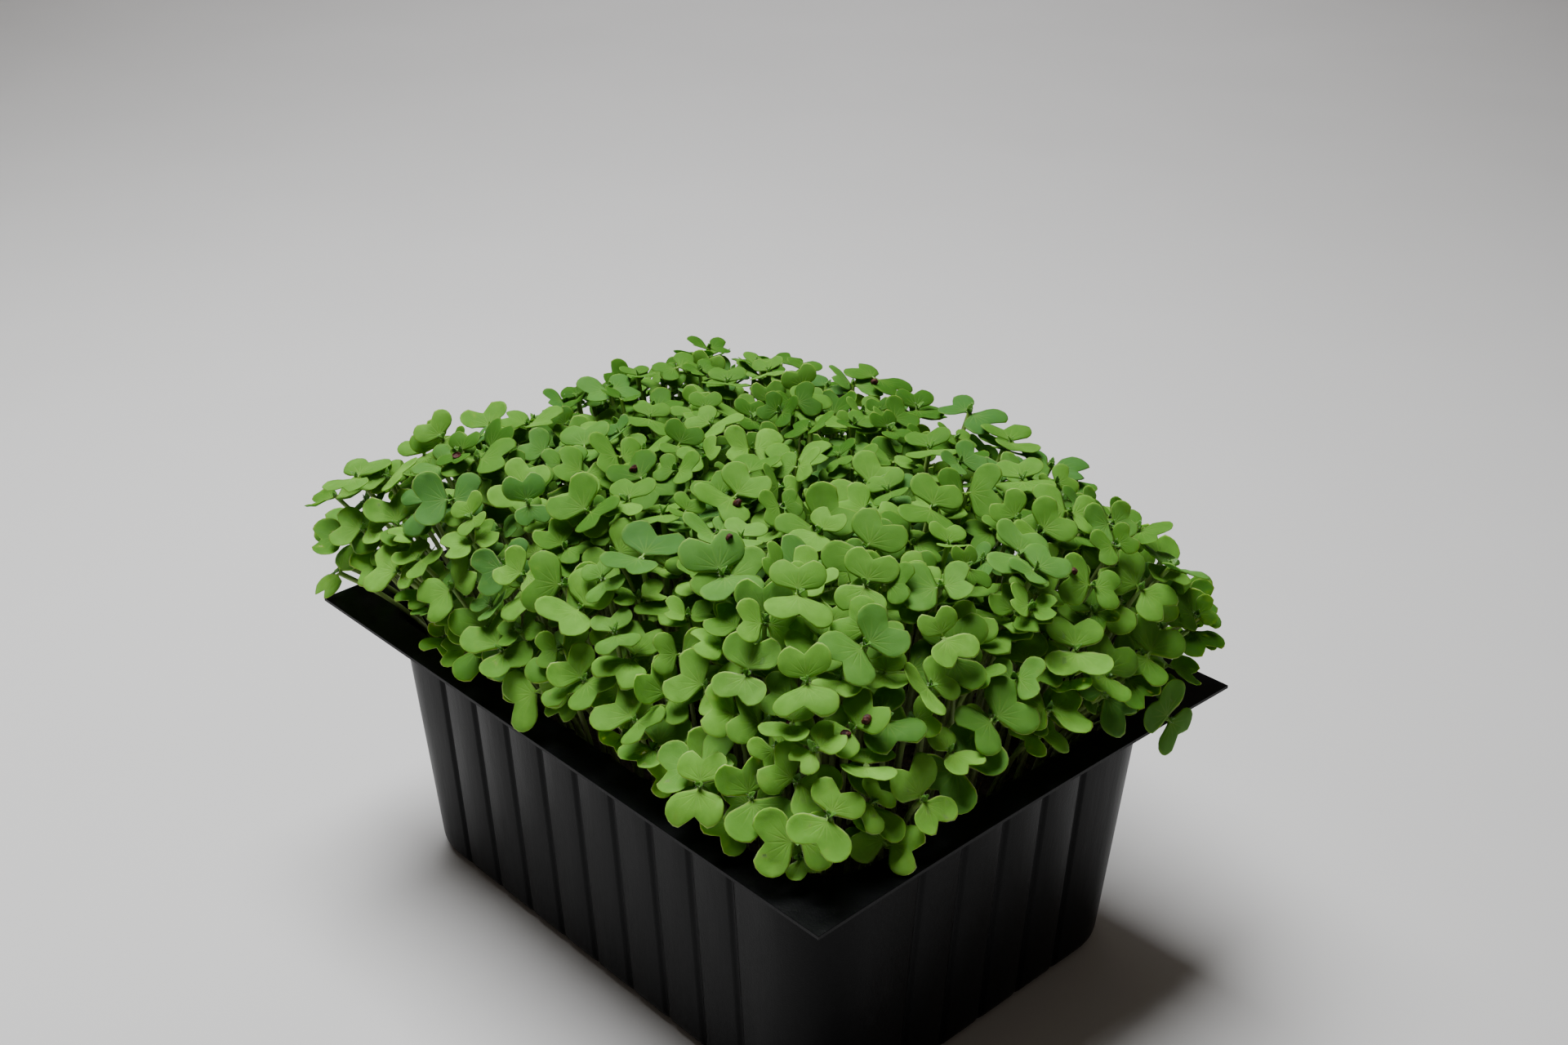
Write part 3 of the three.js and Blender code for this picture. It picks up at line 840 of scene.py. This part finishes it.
# Seedlings that lean out at the edges: root, node, the way their leaves face, and turn
FINE_BLADE, FINE_STEM, FINE_GAP = 0.22, 0.6, 0.05
LEANING_OUT = [
    ((64, 40), (89.5, 42, 72.6), (1, -0.1, 0.1), 3.1),
    ((-66, -44), (-87, -62, 88), (-0.5, -0.55, 1), 0.6),
    ((-68, -42), (-88, -60, 78.5), (-0.6, -0.4, 0.8), 2.2),
    ((-62, -46), (-80, -66, 81), (-0.2, -0.7, 0.9), 1.5),
    ((-68, -38), (-90, -52, 91), (-0.5, -0.2, 1), 0.1),
    ((-70, -30), (-90.5, -44, 82), (-0.6, -0.3, 0.9), 1.2),
    ((-20, -48), (-19, -63, 84), (-0.1, -0.8, 0.7), -1.3),
    ((-2, -48), (0.5, -63, 84), (0.1, -0.9, 0.5), -1.9),
    ((31, -48), (33, -63, 86), (0, -0.7, 0.8), -1.5),
    ((49, -47), (53, -63, 86), (0.2, -0.7, 0.8), -1.1),
    ((66, -44), (78, -57, 84), (0.3, -0.5, 0.8), -0.8),
    ((68, -30), (85, -31, 83), (0.6, -0.2, 0.8), -0.2),
    ((68, 22), (85, 24, 83), (0.7, 0, 0.8), 0.3),
    ((-68, -44), (-86, -61, 99), (-0.3, -0.3, 1), 0.8),
    ((-65, -43), (-80, -58, 104), (-0.2, -0.2, 1), 2.0),
    ((-24, 47), (-28, 65, 111), (0.1, 0.2, 1), 0.2),
    ((-9, 47), (-11, 66, 111), (0, 0.1, 1), 0.9),
    ((6, 47), (6, 66, 110), (0.2, 0, 1), 0.1),
    ((18, 47), (20, 66, 109), (0.1, 0.2, 1), 2.6),
    ((28, 46), (31, 65, 109), (0.2, 0, 1), 0.5),
    ((38, 46), (42, 64, 104), (0.1, 0.1, 1), 2.9),
]
LEAN_TRIES, LEAN_SCATTER, LEAN_SIZE, LEAN_LIFT = 30, 4, (0.9, 1), (0.05, 0.2)
# Between the bunches, and low at the edges: how many sites, how deep they stand, sizes
TALL_SITES = [(700, (0, 0.22), (0.62, 1.02))]
LOW_SITES = [(520, (0.1, 0.42), (0.62, 1.0)), (150, (0.36, 0.8), (0.6, 0.9))]
LOWEST, LONG_SIDE_SHARE = 0.3, 0.6  # those deeper stand round the edge, most on the long sides
FAR_SHRINK = 0.2  # how much smaller the leaves have stayed at the far corner
SHRINK_START = 0.3  # how near they begin to, where the near corner is 1 and the far one -1
SINGLE_SPLAY = 0.95
SINGLE_SCATTER = 5
SINGLE_TRIES = 18
SINGLE_TILT, SINGLE_TILT_SCATTER = (0.3, -0.27), 0.55
BOX_SPARE = 1.3  # how far inside the part's box a flat leaf keeps, so that it can bend
# Stretches of the edge where nothing low grows and bare stems show: least and greatest x, then y
BARE = [((-76, -44), (-70, -46)), ((70, 95), (-36, 4))]


def is_within(stretches, x, y):
    return any(low_x < x < high_x and low_y < y < high_y for (low_x, high_x), (low_y, high_y) in stretches)


def nearness(seedling):
    """1 at the near corner, -1 at the far one."""
    x, y, _ = seedling["node"]
    return (x / CANOPY_X - y / CANOPY_Y) / 2


def shrink_far(seedling):
    far = max(0, SHRINK_START - nearness(seedling)) / (1 + SHRINK_START)
    for leaf in seedling["leaves"]:
        leaf["size"] *= 1 - FAR_SHRINK * far


def fits(lobes):
    """Inside the part's box, and clear of the punnet and of every blade so far."""
    corners = np.concatenate([lobe.points for lobe in lobes])
    low, high = (np.array(corner) / MM for corner in cad_box)
    inside = np.all(corners > low + BOX_SPARE) and np.all(corners < high - BOX_SPARE)
    return inside and all_clear(lobes, blades, FINE_GAP)


def lean_out():
    """Seedlings set one by one from a list. Their leaves keep clear of the punnet, but nothing tests their
    stems.
    """
    seedlings = []
    for root, node, facing, turn in LEANING_OUT:
        root = np.array([*root, MEDIUM_TOP], dtype=float)
        up = unit(np.array(facing, dtype=float))
        for attempt in range(LEAN_TRIES):
            scatter = LEAN_SCATTER * attempt / LEAN_TRIES
            place = np.array([value + draws.between(-scatter, scatter) for value in node])
            seedling = open_leaves(draws, root, place, up, turn, LEAN_SIZE, LEAN_LIFT)
            lobes = lobe_parts(seedling, FINE_LOBE, FINE_BLADE)
            if fits(lobes):
                seedlings.append(seedling)
                blades.admit(lobes)
                break
    return seedlings


def sow_singles(groups, bare=()):
    singles = []
    for number, depths, sizes in groups:
        for _ in range(number):
            u, v = draws.between(-1, 1), draws.between(-1, 1)
            if depths[0] > LOWEST:
                edge = 1 if draws.between(0, 1) < 0.5 else -1
                u, v = (u, edge) if draws.between(0, 1) < LONG_SIDE_SHARE else (edge, v)
            root = np.array([*sown_place(u, v), MEDIUM_TOP])
            pull = SINGLE_SPLAY * near_pull(u, v)
            for _ in range(SINGLE_TRIES):
                aim = [
                    reach * share * pull + draws.between(-1, 1) * SINGLE_SCATTER * (1 - abs(share))
                    for reach, share in ((CANOPY_X, u), (CANOPY_Y, v))
                ]
                seedling = draw_seedling(draws, root, aim, depths, sizes, SINGLE_TILT, SINGLE_TILT_SCATTER)
                shrink_far(seedling)
                if is_within(bare, *seedling["node"][:2]):
                    continue
                lobes = lobe_parts(seedling, FINE_LOBE, FINE_BLADE)
                if fits(lobes) and off_punnet(stem_parts(seedling, FINE_STEM), FINE_GAP):
                    singles.append(seedling)
                    blades.admit(lobes)
                    break
    return singles


draws, blades = Draws(11), Crowd(6000)
for seedling in bunched:
    shrink_far(seedling)
    blades.admit(lobe_parts(seedling, FINE_LOBE, FINE_BLADE))
tall = lean_out() + sow_singles(TALL_SITES)
low = sow_singles(LOW_SITES, BARE)

# ---- Seed leaves ----
# Each seedling opens a pair of smooth, notched leaves, kidney-shaped and a third of a millimetre thick.
# They are bright yellow-green, paler along the veins, and cupped or folded a little. A lighter rim is a
# painted highlight, and the leaves are painted lighter towards the near corner and darker at the far one, as
# painted light.
LEAF = dict(
    Lobe_radius=3.9,
    Lobe_middle=3.3,
    Notch=1.3,
    Base=5.0,
    Blade_middle=5.4,
    Thickness=0.36,
    Around=8,
    Across=12,
)
FLATNESS = 0.45  # below 1, more of a blade's points lie at its rim
THIN_EDGE = 0.8  # how far in from the sides it thins
CREASE_ROUNDING, CREASE_DEPTH = 0.5, 0.7  # of the fold along the midrib
WAVES_OUT, WAVES_ALONG = 1.1, 0.8
VEINS = ((0.0, 0.15), (0.42, 0.08), (0.8, 0.12), (1.2, 0.08))  # lean from the midrib, and half the width
VEIN_START = 1.6  # along the blade, where they part


def written(wire, name, output="Fac"):
    """What the shape has written on its points."""
    return wire.node("ShaderNodeAttribute", {"attribute_name": name}, None, output)


def sap(weight, depths):
    """How much light goes through, and how deep its red, green and blue go, in millimetres."""
    radius = tuple(depth * MM for depth in depths)
    return dict(Subsurface_Weight=weight, Subsurface_Radius=radius, Subsurface_Scale=1.0)


leaf_green, wire, place = begin_material("seed_leaf")
blade = written(wire, "blade", "Vector")
tint, pale, rim = written(wire, "tint"), written(wire, "pale"), written(wire, "rim")
along, out = blade.part("X"), abs(blade.part("Y"))
from_petiole = (along - VEIN_START).at_least(0.01)
lean = out.maths("ARCTAN2", from_petiole)
reach = (out * out + from_petiole * from_petiole).root()
veins = [(abs(lean - leaning) * reach).ramp(width + 0.16, width * 0.3) for leaning, width in VEINS]
veins = (sum(veins[1:], veins[0]) * reach.ramp(6.5, 1.5)).at_most(1)
mottle = speckle(place, 330, 3)
cells = speckle(place, 5200, 2)
painted_rim_highlight = rim.ramp(0.86, 1.0)
underside = blade.part("Z").ramp(0.1, -0.2)
# the tint is each leaf's own random tone with painted light added, lighter towards the near corner
green = tint.mixed((0.038, 0.125, 0.013, 1), (0.215, 0.49, 0.07, 1))
green = pale.mixed(green, (0.07, 0.2, 0.052, 1))
dark = (mottle - 0.5).maths("MULTIPLY_ADD", 0.7, 0.25).at_least(0)
green = dark.mixed(green, (0.055, 0.165, 0.012, 1))
green = (underside * 0.5).mixed(green, (0.11, 0.26, 0.06, 1))
green = (veins * 0.12).mixed(green, (0.34, 0.55, 0.1, 1))
# painted highlight: a lighter rim, standing in for the glint and the light through the thin edge
green = (painted_rim_highlight * 0.15).mixed(green, (0.4, 0.6, 0.1, 1))
finish_material(
    wire,
    **sap(0.5, (1, 1.4, 0.3)),
    Specular_IOR_Level=0.05,
    Base_Color=green,
    Roughness=0.6 - cells * 0.12 + mottle * 0.12,
    Normal=bumped(cells * 0.3 - veins * 0.6 + mottle * 0.6, 0.00012, 0.6),
)



def open_tube(wire, around, along):
    """A tube about Z, 1 in radius and 2 long, that the formulas below flatten into a blade."""
    inputs = {"Vertices": around, "Side Segments": along, "Radius": 1.0, "Depth": 2.0}
    return wire.node("GeometryNodeMeshCylinder", {"fill_type": "NONE"}, inputs)


wire, inputs, size = begin_shape("seed_leaves", **LEAF)
tube = open_tube(wire, size.Around, size.Across)
where = wire.node("GeometryNodeInputPosition")
above, sideways = where.part("Y"), where.part("Z")
forwards = where.part("X").maths("SIGN") * abs(where.part("X")) ** FLATNESS
out = (sideways * (-pi / 2)).sine() * (size.Lobe_middle + size.Lobe_radius)
away = abs(out)
beyond = (away - size.Lobe_middle).at_least(0)
bow = (size.Lobe_radius ** 2 - beyond ** 2).at_least(0).root()
inward = (away / size.Lobe_middle).at_most(1)
waist = ((inward * pi).cosine() + 1) * 0.5
front = bow - waist * (size.Lobe_radius - size.Notch)
back = bow - waist * (size.Lobe_radius - size.Base)
depth = front * (forwards + 1) * 0.5 + back * (1 - forwards) * 0.5
along = size.Blade_middle + depth * forwards
edge = (bow / THIN_EDGE).at_most(1)
thick = above.maths("SIGN") * abs(above).root() * edge * size.Thickness * 0.5
outermost = abs((sideways * (pi / 2)).sine())
leaf = keep(tube, "rim", abs(forwards).at_least(outermost))
leaf = keep(leaf, "blade", wire.vector(along, out, above), VECTOR)
leaf = merged(moved(leaf, Position=wire.vector(along, out, thick)))
leaf_size = trait(wire, "size")
leaves = realized(copies(inputs, leaf, facing(wire, "normal", "direction"), all_round(leaf_size)))
blade = trait(wire, "blade", VECTOR)
along, out = blade.part("X"), blade.part("Y")
away = abs(out)
inward = (away / size.Lobe_middle).at_most(1)
from_middle = (away - size.Lobe_middle) ** 2 + (along - size.Blade_middle) ** 2
cupped = trait(wire, "cup") * (from_middle / size.Lobe_radius ** 2 - 0.5) * inward ** 2
twist = out * along * trait(wire, "twist")
wave = (out * WAVES_OUT + along * WAVES_ALONG + trait(wire, "phase")).sine()
wave = wave * trait(wire, "wave") * inward
fold = (out * out + CREASE_ROUNDING).root() - CREASE_DEPTH
bend = trait(wire, "fold") * fold - trait(wire, "curl") * along * along + cupped + twist + wave
lift = trait(wire, "normal", VECTOR).times(bend * leaf_size)
finish_shape(moved(leaves, Offset=lift), leaf_green)
leaf_tree = wire.tree

TONE, TONE_SCATTER = (0.1, 0.8), 0.2
NEAR_PAINTED_LIGHT = 0.6  # painted light: lighter towards the near corner and darker towards the far one, where less light falls
PALE = (-3.2, 0.9)  # below 0, a seedling isn't pale at all
CUP, WAVE, TWIST = (-1.2, 1.4), (0, 0.26), 0.02
SLACK_DEPTH = 16  # the highest leaves lie flattest, and those so far below the peak bend as they like
LEAF_TRAITS = ("direction", "normal", "tint", "pale", "fold", "curl", "cup", "wave", "twist", "phase")


def leaves_of(name, seedlings):
    places, leaves = [], []
    for seedling in seedlings:
        # painted light: each seedling's tone is raised towards the near corner and lowered towards the far
        # one
        tone_and_painted_light = looks.between(*TONE) + NEAR_PAINTED_LIGHT * nearness(seedling)
        pale = max(0, looks.between(*PALE))
        slack = min(1, (HEIGHT + PEAK - seedling["node"][2]) / SLACK_DEPTH)
        for leaf in seedling["leaves"]:
            leaf.update(cup=looks.between(*CUP) * slack, wave=looks.between(*WAVE) * slack)
            leaf.update(twist=looks.between(-TWIST, TWIST), phase=looks.between(0, 2 * pi), pale=pale)
            leaf["tint"] = min(1, max(0, tone_and_painted_light + looks.between(-TONE_SCATTER, TONE_SCATTER)))
            places.append(seedling["node"])
            leaves.append(leaf)
    traits = {key: [leaf[key] for leaf in leaves] for key in LEAF_TRAITS}
    traits["size"] = [leaf["size"] * MM for leaf in leaves]
    return grown(name, point_cloud(name, places, **traits), leaf_tree, LEAF)


bunch_nodes = sorted(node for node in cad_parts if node.startswith("seedlings_"))
looks = Draws(5)
stand = {"bunch": bunched, "single": tall, "low": low}
leaf_pieces = [leaves_of(name + "_leaves", seedlings) for name, seedlings in stand.items()]
for leaves in leaf_pieces:
    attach(leaves, "root")
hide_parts(*bunch_nodes)

# ---- Stems and leaf stalks ----
# Tender, juicy stems, paler than the leaves and almost white low down, where they stood in the dark.
# They lean out towards the light, and each forks at the top into two short stalks.
STEM_POINTS, STEM_FOOT = 9, 1.5  # the foot's depth in the medium
THICKNESS, THINNING, SWAY = (0.52, 0.72), 0.16, 0.4  # radius, what it loses half way up, and its sway
# A leaf's stalk and midrib: distance from the stem, height on the leaf, radius
STALK = [(-0.3, -0.4, 0.46), (0.5, -0.12, 0.42), (1.3, -0.2, 0.4)]
STALK += [(2.6, -0.28, 0.32), (4.2, -0.28, 0.22), (6.0, -0.25, 0.1)]
STEM = dict(Sides=6)
stem_green, wire, place = begin_material("stem")
rise = written(wire, "rise")  # 1 where the leaf stalks fork
streaks = speckle(drawn_out(place, 0.15), 1500, 2)
colour = rise.ramp(0.8, 0.2).mixed((0.3, 0.45, 0.11, 1), (0.6, 0.66, 0.38, 1))
colour = rise.ramp(0.9, 1.02).mixed(colour, (0.15, 0.34, 0.03, 1))
finish_material(
    wire,
    **sap(0.2, (1, 1, 0.4)),
    IOR=1.4,
    Base_Color=(streaks.ramp(0.4, 0.75) * 0.3).mixed(colour, (0.36, 0.46, 0.2, 1)),
    Roughness=streaks * 0.15 + 0.36,
    Normal=bumped(streaks, 0.0001),
)
stem_tree = strand_tree("stems", STEM, stem_green)


def stems_of(name, seedlings):
    places, edges, girths, rises = [], [], [], []

    def follow(points, radii, heights):
        edges.extend((len(places) + i, len(places) + i + 1) for i in range(len(points) - 1))
        places.extend(points)
        girths.extend(radius * MM for radius in radii)
        rises.extend(heights)

    for seedling in seedlings:
        root, elbow, node = seedling["root"], seedling["elbow"], seedling["node"]
        foot = root - np.array([0, 0, STEM_FOOT])
        share = ELBOW_HEIGHT
        pull = (elbow - (1 - share) ** 2 * foot - share ** 2 * node) / (2 * share * (1 - share))
        thickness = looks.between(*THICKNESS)
        sway = np.array([looks.between(-SWAY, SWAY), looks.between(-SWAY, SWAY), 0])
        shares = [step / (STEM_POINTS - 1) for step in range(STEM_POINTS)]
        points = [(1 - t) ** 2 * foot + 2 * t * (1 - t) * pull + t * t * node for t in shares]
        points = [point + sway * sin(2 * pi * t) for point, t in zip(points, shares)]
        follow(points, [thickness * (1 - THINNING * sin(pi * t)) for t in shares], shares)
        for leaf in seedling["leaves"]:
            points, radii, heights = [], [], []
            for along, lift, radius in STALK:
                bend = lift - leaf["curl"] * along * along
                points.append(node + (leaf["direction"] * along + leaf["normal"] * bend) * leaf["size"])
                radii.append(radius * leaf["size"])
                heights.append(1 + along / STALK[-1][0] / 5)
            follow(points, radii, heights)
    return grown(name, point_cloud(name, places, edges, girth=girths, rise=rises), stem_tree, STEM)


stem_pieces = [stems_of(name + "_stems", seedlings) for name, seedlings in stand.items()]
for stems in stem_pieces:
    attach(stems, "root")
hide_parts(*bunch_nodes)

# ---- Buds ----
# Between the seed leaves the first true leaves are opening: two tiny, toothed leaves that still clasp each
# other, set with bristly hairs. Some seedlings are further on than others.
BUD = dict(Length=2.6, Half_width=0.85, Thickness=0.2, Tooth=0.14, Teeth=9, Fold=0.75, Lean=0.34, Apart=0.25)
BUD.update(Hairs_to_a_square_mm=1.3, Hair_length=0.75, Hair_radius=0.035, Seed=7)
BUD_PARTNER = 0.8  # the smaller leaf, next to the larger
BUD_SHARE = 0.8  # of the seedlings show theirs
BUD_SIZE, BUD_GROWTH, BUD_LEAN, BUD_SUNK = 0.55, 0.6, 0.3, 0.1
bud_green, wire, place = begin_material("true_leaf_bud")
hairy, tip = written(wire, "hair"), written(wire, "tip")
mottle = speckle(place, 2400, 2)
colour = tip.ramp(0.2, 1.0).mixed((0.16, 0.36, 0.05, 1), (0.08, 0.25, 0.02, 1))
colour = ((mottle - 0.5) * 0.8 + 0.3).at_least(0).mixed(colour, (0.05, 0.17, 0.015, 1))
finish_material(
    wire,
    **sap(0.25, (0.4, 0.6, 0.2)),
    Base_Color=hairy.mixed(colour, (0.5, 0.6, 0.35, 1)),
    Roughness=mottle * 0.2 + 0.4,
    Normal=bumped(mottle, 0.0001),
)


def joined(first, second):
    both = first.node("GeometryNodeJoinGeometry")
    for geometry in (first, second):
        first.tree.links.new(both.socket.node.inputs[0], geometry.socket)
    return both


wire, inputs, size = begin_shape("buds", **BUD)
tube = open_tube(wire, 6, size.Teeth)
where = wire.node("GeometryNodeInputPosition")
along = (where.part("Z") + 1) * 0.5
belly = (along ** 0.75 * pi).sine().at_least(0) ** 0.7
toothed = belly * ((along * pi * size.Teeth).cosine() * size.Tooth + 1)
out = where.part("X") * toothed * size.Half_width
faces = where.part("Y") * belly * size.Thickness
away = along * size.Length * size.Lean - abs(out) * size.Fold + faces + size.Apart
leaf_point = wire.vector(out, away, along * size.Length)
leaf = merged(moved(keep(tube, "tip", along), Position=leaf_point))
partner = {"Geometry": leaf, "Rotation": (0, 0, pi), "Scale": (BUD_PARTNER,) * 3}
pair = joined(leaf, leaf.node("GeometryNodeTransform", None, partner))
roots = strewn(pair, Density=size.Hairs_to_a_square_mm, Seed=size.Seed)
hair = {"Vertices": 3, "Radius Top": 0.0, "Radius Bottom": size.Hair_radius, "Depth": size.Hair_length}
hair = keep(wire.node("GeometryNodeMeshCone", {"fill_type": "NONE"}, hair), "hair", 1.0)
outwards = Wire(wire.tree, roots.socket.node.outputs["Rotation"])
bud = realized(joined(copies(roots, hair, outwards, (1, 1, 1)), pair))
bud_size = all_round(trait(wire, "size"))
finish_shape(copies(inputs, bud, facing(wire, "up", "heading"), bud_size), bud_green)


def seats(name, rows):
    """A point for each piece to sit on, from rows of its place, upward direction, heading and size."""
    places, ups, headings, sizes = zip(*rows)
    return point_cloud(name, places, up=ups, heading=headings, size=sizes)


def bud_points(seedlings):
    rows = []
    for seedling in seedlings:
        growth, lean = looks.between(0, 1), looks.between(-BUD_LEAN, BUD_LEAN)
        if growth < 1 - BUD_SHARE:
            continue
        leaf, up = seedling["leaves"][0], seedling["up"]
        place, size = seedling["node"] - up * BUD_SUNK, MM * (BUD_SIZE + BUD_GROWTH * growth)
        rows.append((place, unit(up + leaf["across"] * lean), leaf["direction"], size))
    return seats("buds", rows)


buds = grown("true_leaf_buds", bud_points(bunched + tall + low), wire.tree, BUD)
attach(buds, "root")

# ---- Seed coats ----
# The dark, papery coats that the seedlings pushed off as they opened. A few still lie on the leaves, dented
# where the seed came out.
COAT_PIXELS = [(775, 575), (893, 660), (560, 560), (1312, 702), (968, 885), (545, 778), (1070, 470)]
COATS_STREWN = 6
PIXELS_ACROSS, PIXELS_DOWN = 1920, 1280
COAT = dict(Radius=1.05 * MM, Flatness=0.85, Dent=0.55, Dent_height=0.2, Wrinkle=0.7 * MM)
COAT_LIFT = 0.5  # how far its middle lies above the leaf, as a share of its radius
COAT_SIZE, COAT_TIP, COAT_REACH = (0.85, 1.1), 1.5, 0.85  # the reach as a share of the canopy
coat_brown, wire, place = begin_material("seed_coat")
husk = speckle(place, 1600, 4)
finish_material(
    wire,
    Specular_IOR_Level=0.3,
    Base_Color=husk.ramp(0.35, 0.7).mixed((0.035, 0.009, 0.008, 1), (0.14, 0.036, 0.024, 1)),
    Roughness=0.75 - husk * 0.3,
    Normal=bumped(husk, 0.0002),
)
wire, inputs, size = begin_shape("seed_coats", **COAT)
where = wire.node("GeometryNodeInputPosition")
over = (where.part("Z") - size.Dent_height).at_least(0)
dented = where.part("Z") - over * (size.Dent + 1)
shell_point = wire.vector(where.part("X"), where.part("Y") * size.Flatness, dented)
coat_size = all_round(trait(wire, "size") * size.Radius)
coat = moved(ball(wire, 4), Position=shell_point)
coats = realized(copies(inputs, coat, facing(wire, "up", "heading"), coat_size))
finish_shape(roughened(coats, 1300, 2, size.Wrinkle), coat_brown)


def coat_points():
    """Where coats lie: on the first leaf under each pixel, and on leaves found from straight above."""
    settled = bpy.context.evaluated_depsgraph_get()
    trees = [BVHTree.FromObject(leaves, settled) for leaves in leaf_pieces]
    focal = lens.lens / lens.sensor_width * PIXELS_ACROSS
    sights = []
    for x, y in COAT_PIXELS:
        towards = forward * focal + right * (x - PIXELS_ACROSS / 2) - upright * (y - PIXELS_DOWN / 2)
        sights.append((camera.matrix_world.translation, towards.normalized()))
    for _ in range(COATS_STREWN):
        x, y = (looks.between(-COAT_REACH, COAT_REACH) * reach for reach in (CANOPY_X, CANOPY_Y))
        sights.append((Vector((x, y, 2 * HEIGHT)) * MM, Vector((0, 0, -1))))
    rows = []
    for start, towards in sights:
        hits = [hit for hit in (tree.ray_cast(start, towards) for tree in trees) if hit[0] is not None]
        if not hits:
            continue
        place, normal, _, _ = min(hits, key=lambda hit: hit[3])
        if normal.dot(towards) > 0:
            normal = -normal
        size = looks.between(*COAT_SIZE)
        up = (normal + Vector([looks.between(-COAT_TIP, COAT_TIP) for _ in range(3)])).normalized()
        middle = np.array(place + normal * COAT_LIFT * COAT["Radius"] * size) / MM
        rows.append((middle, up, up.orthogonal(), size))
    return seats("coats", rows)


seed_coats = grown("seed_coats", coat_points(), wire.tree, COAT)
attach(seed_coats, "root")
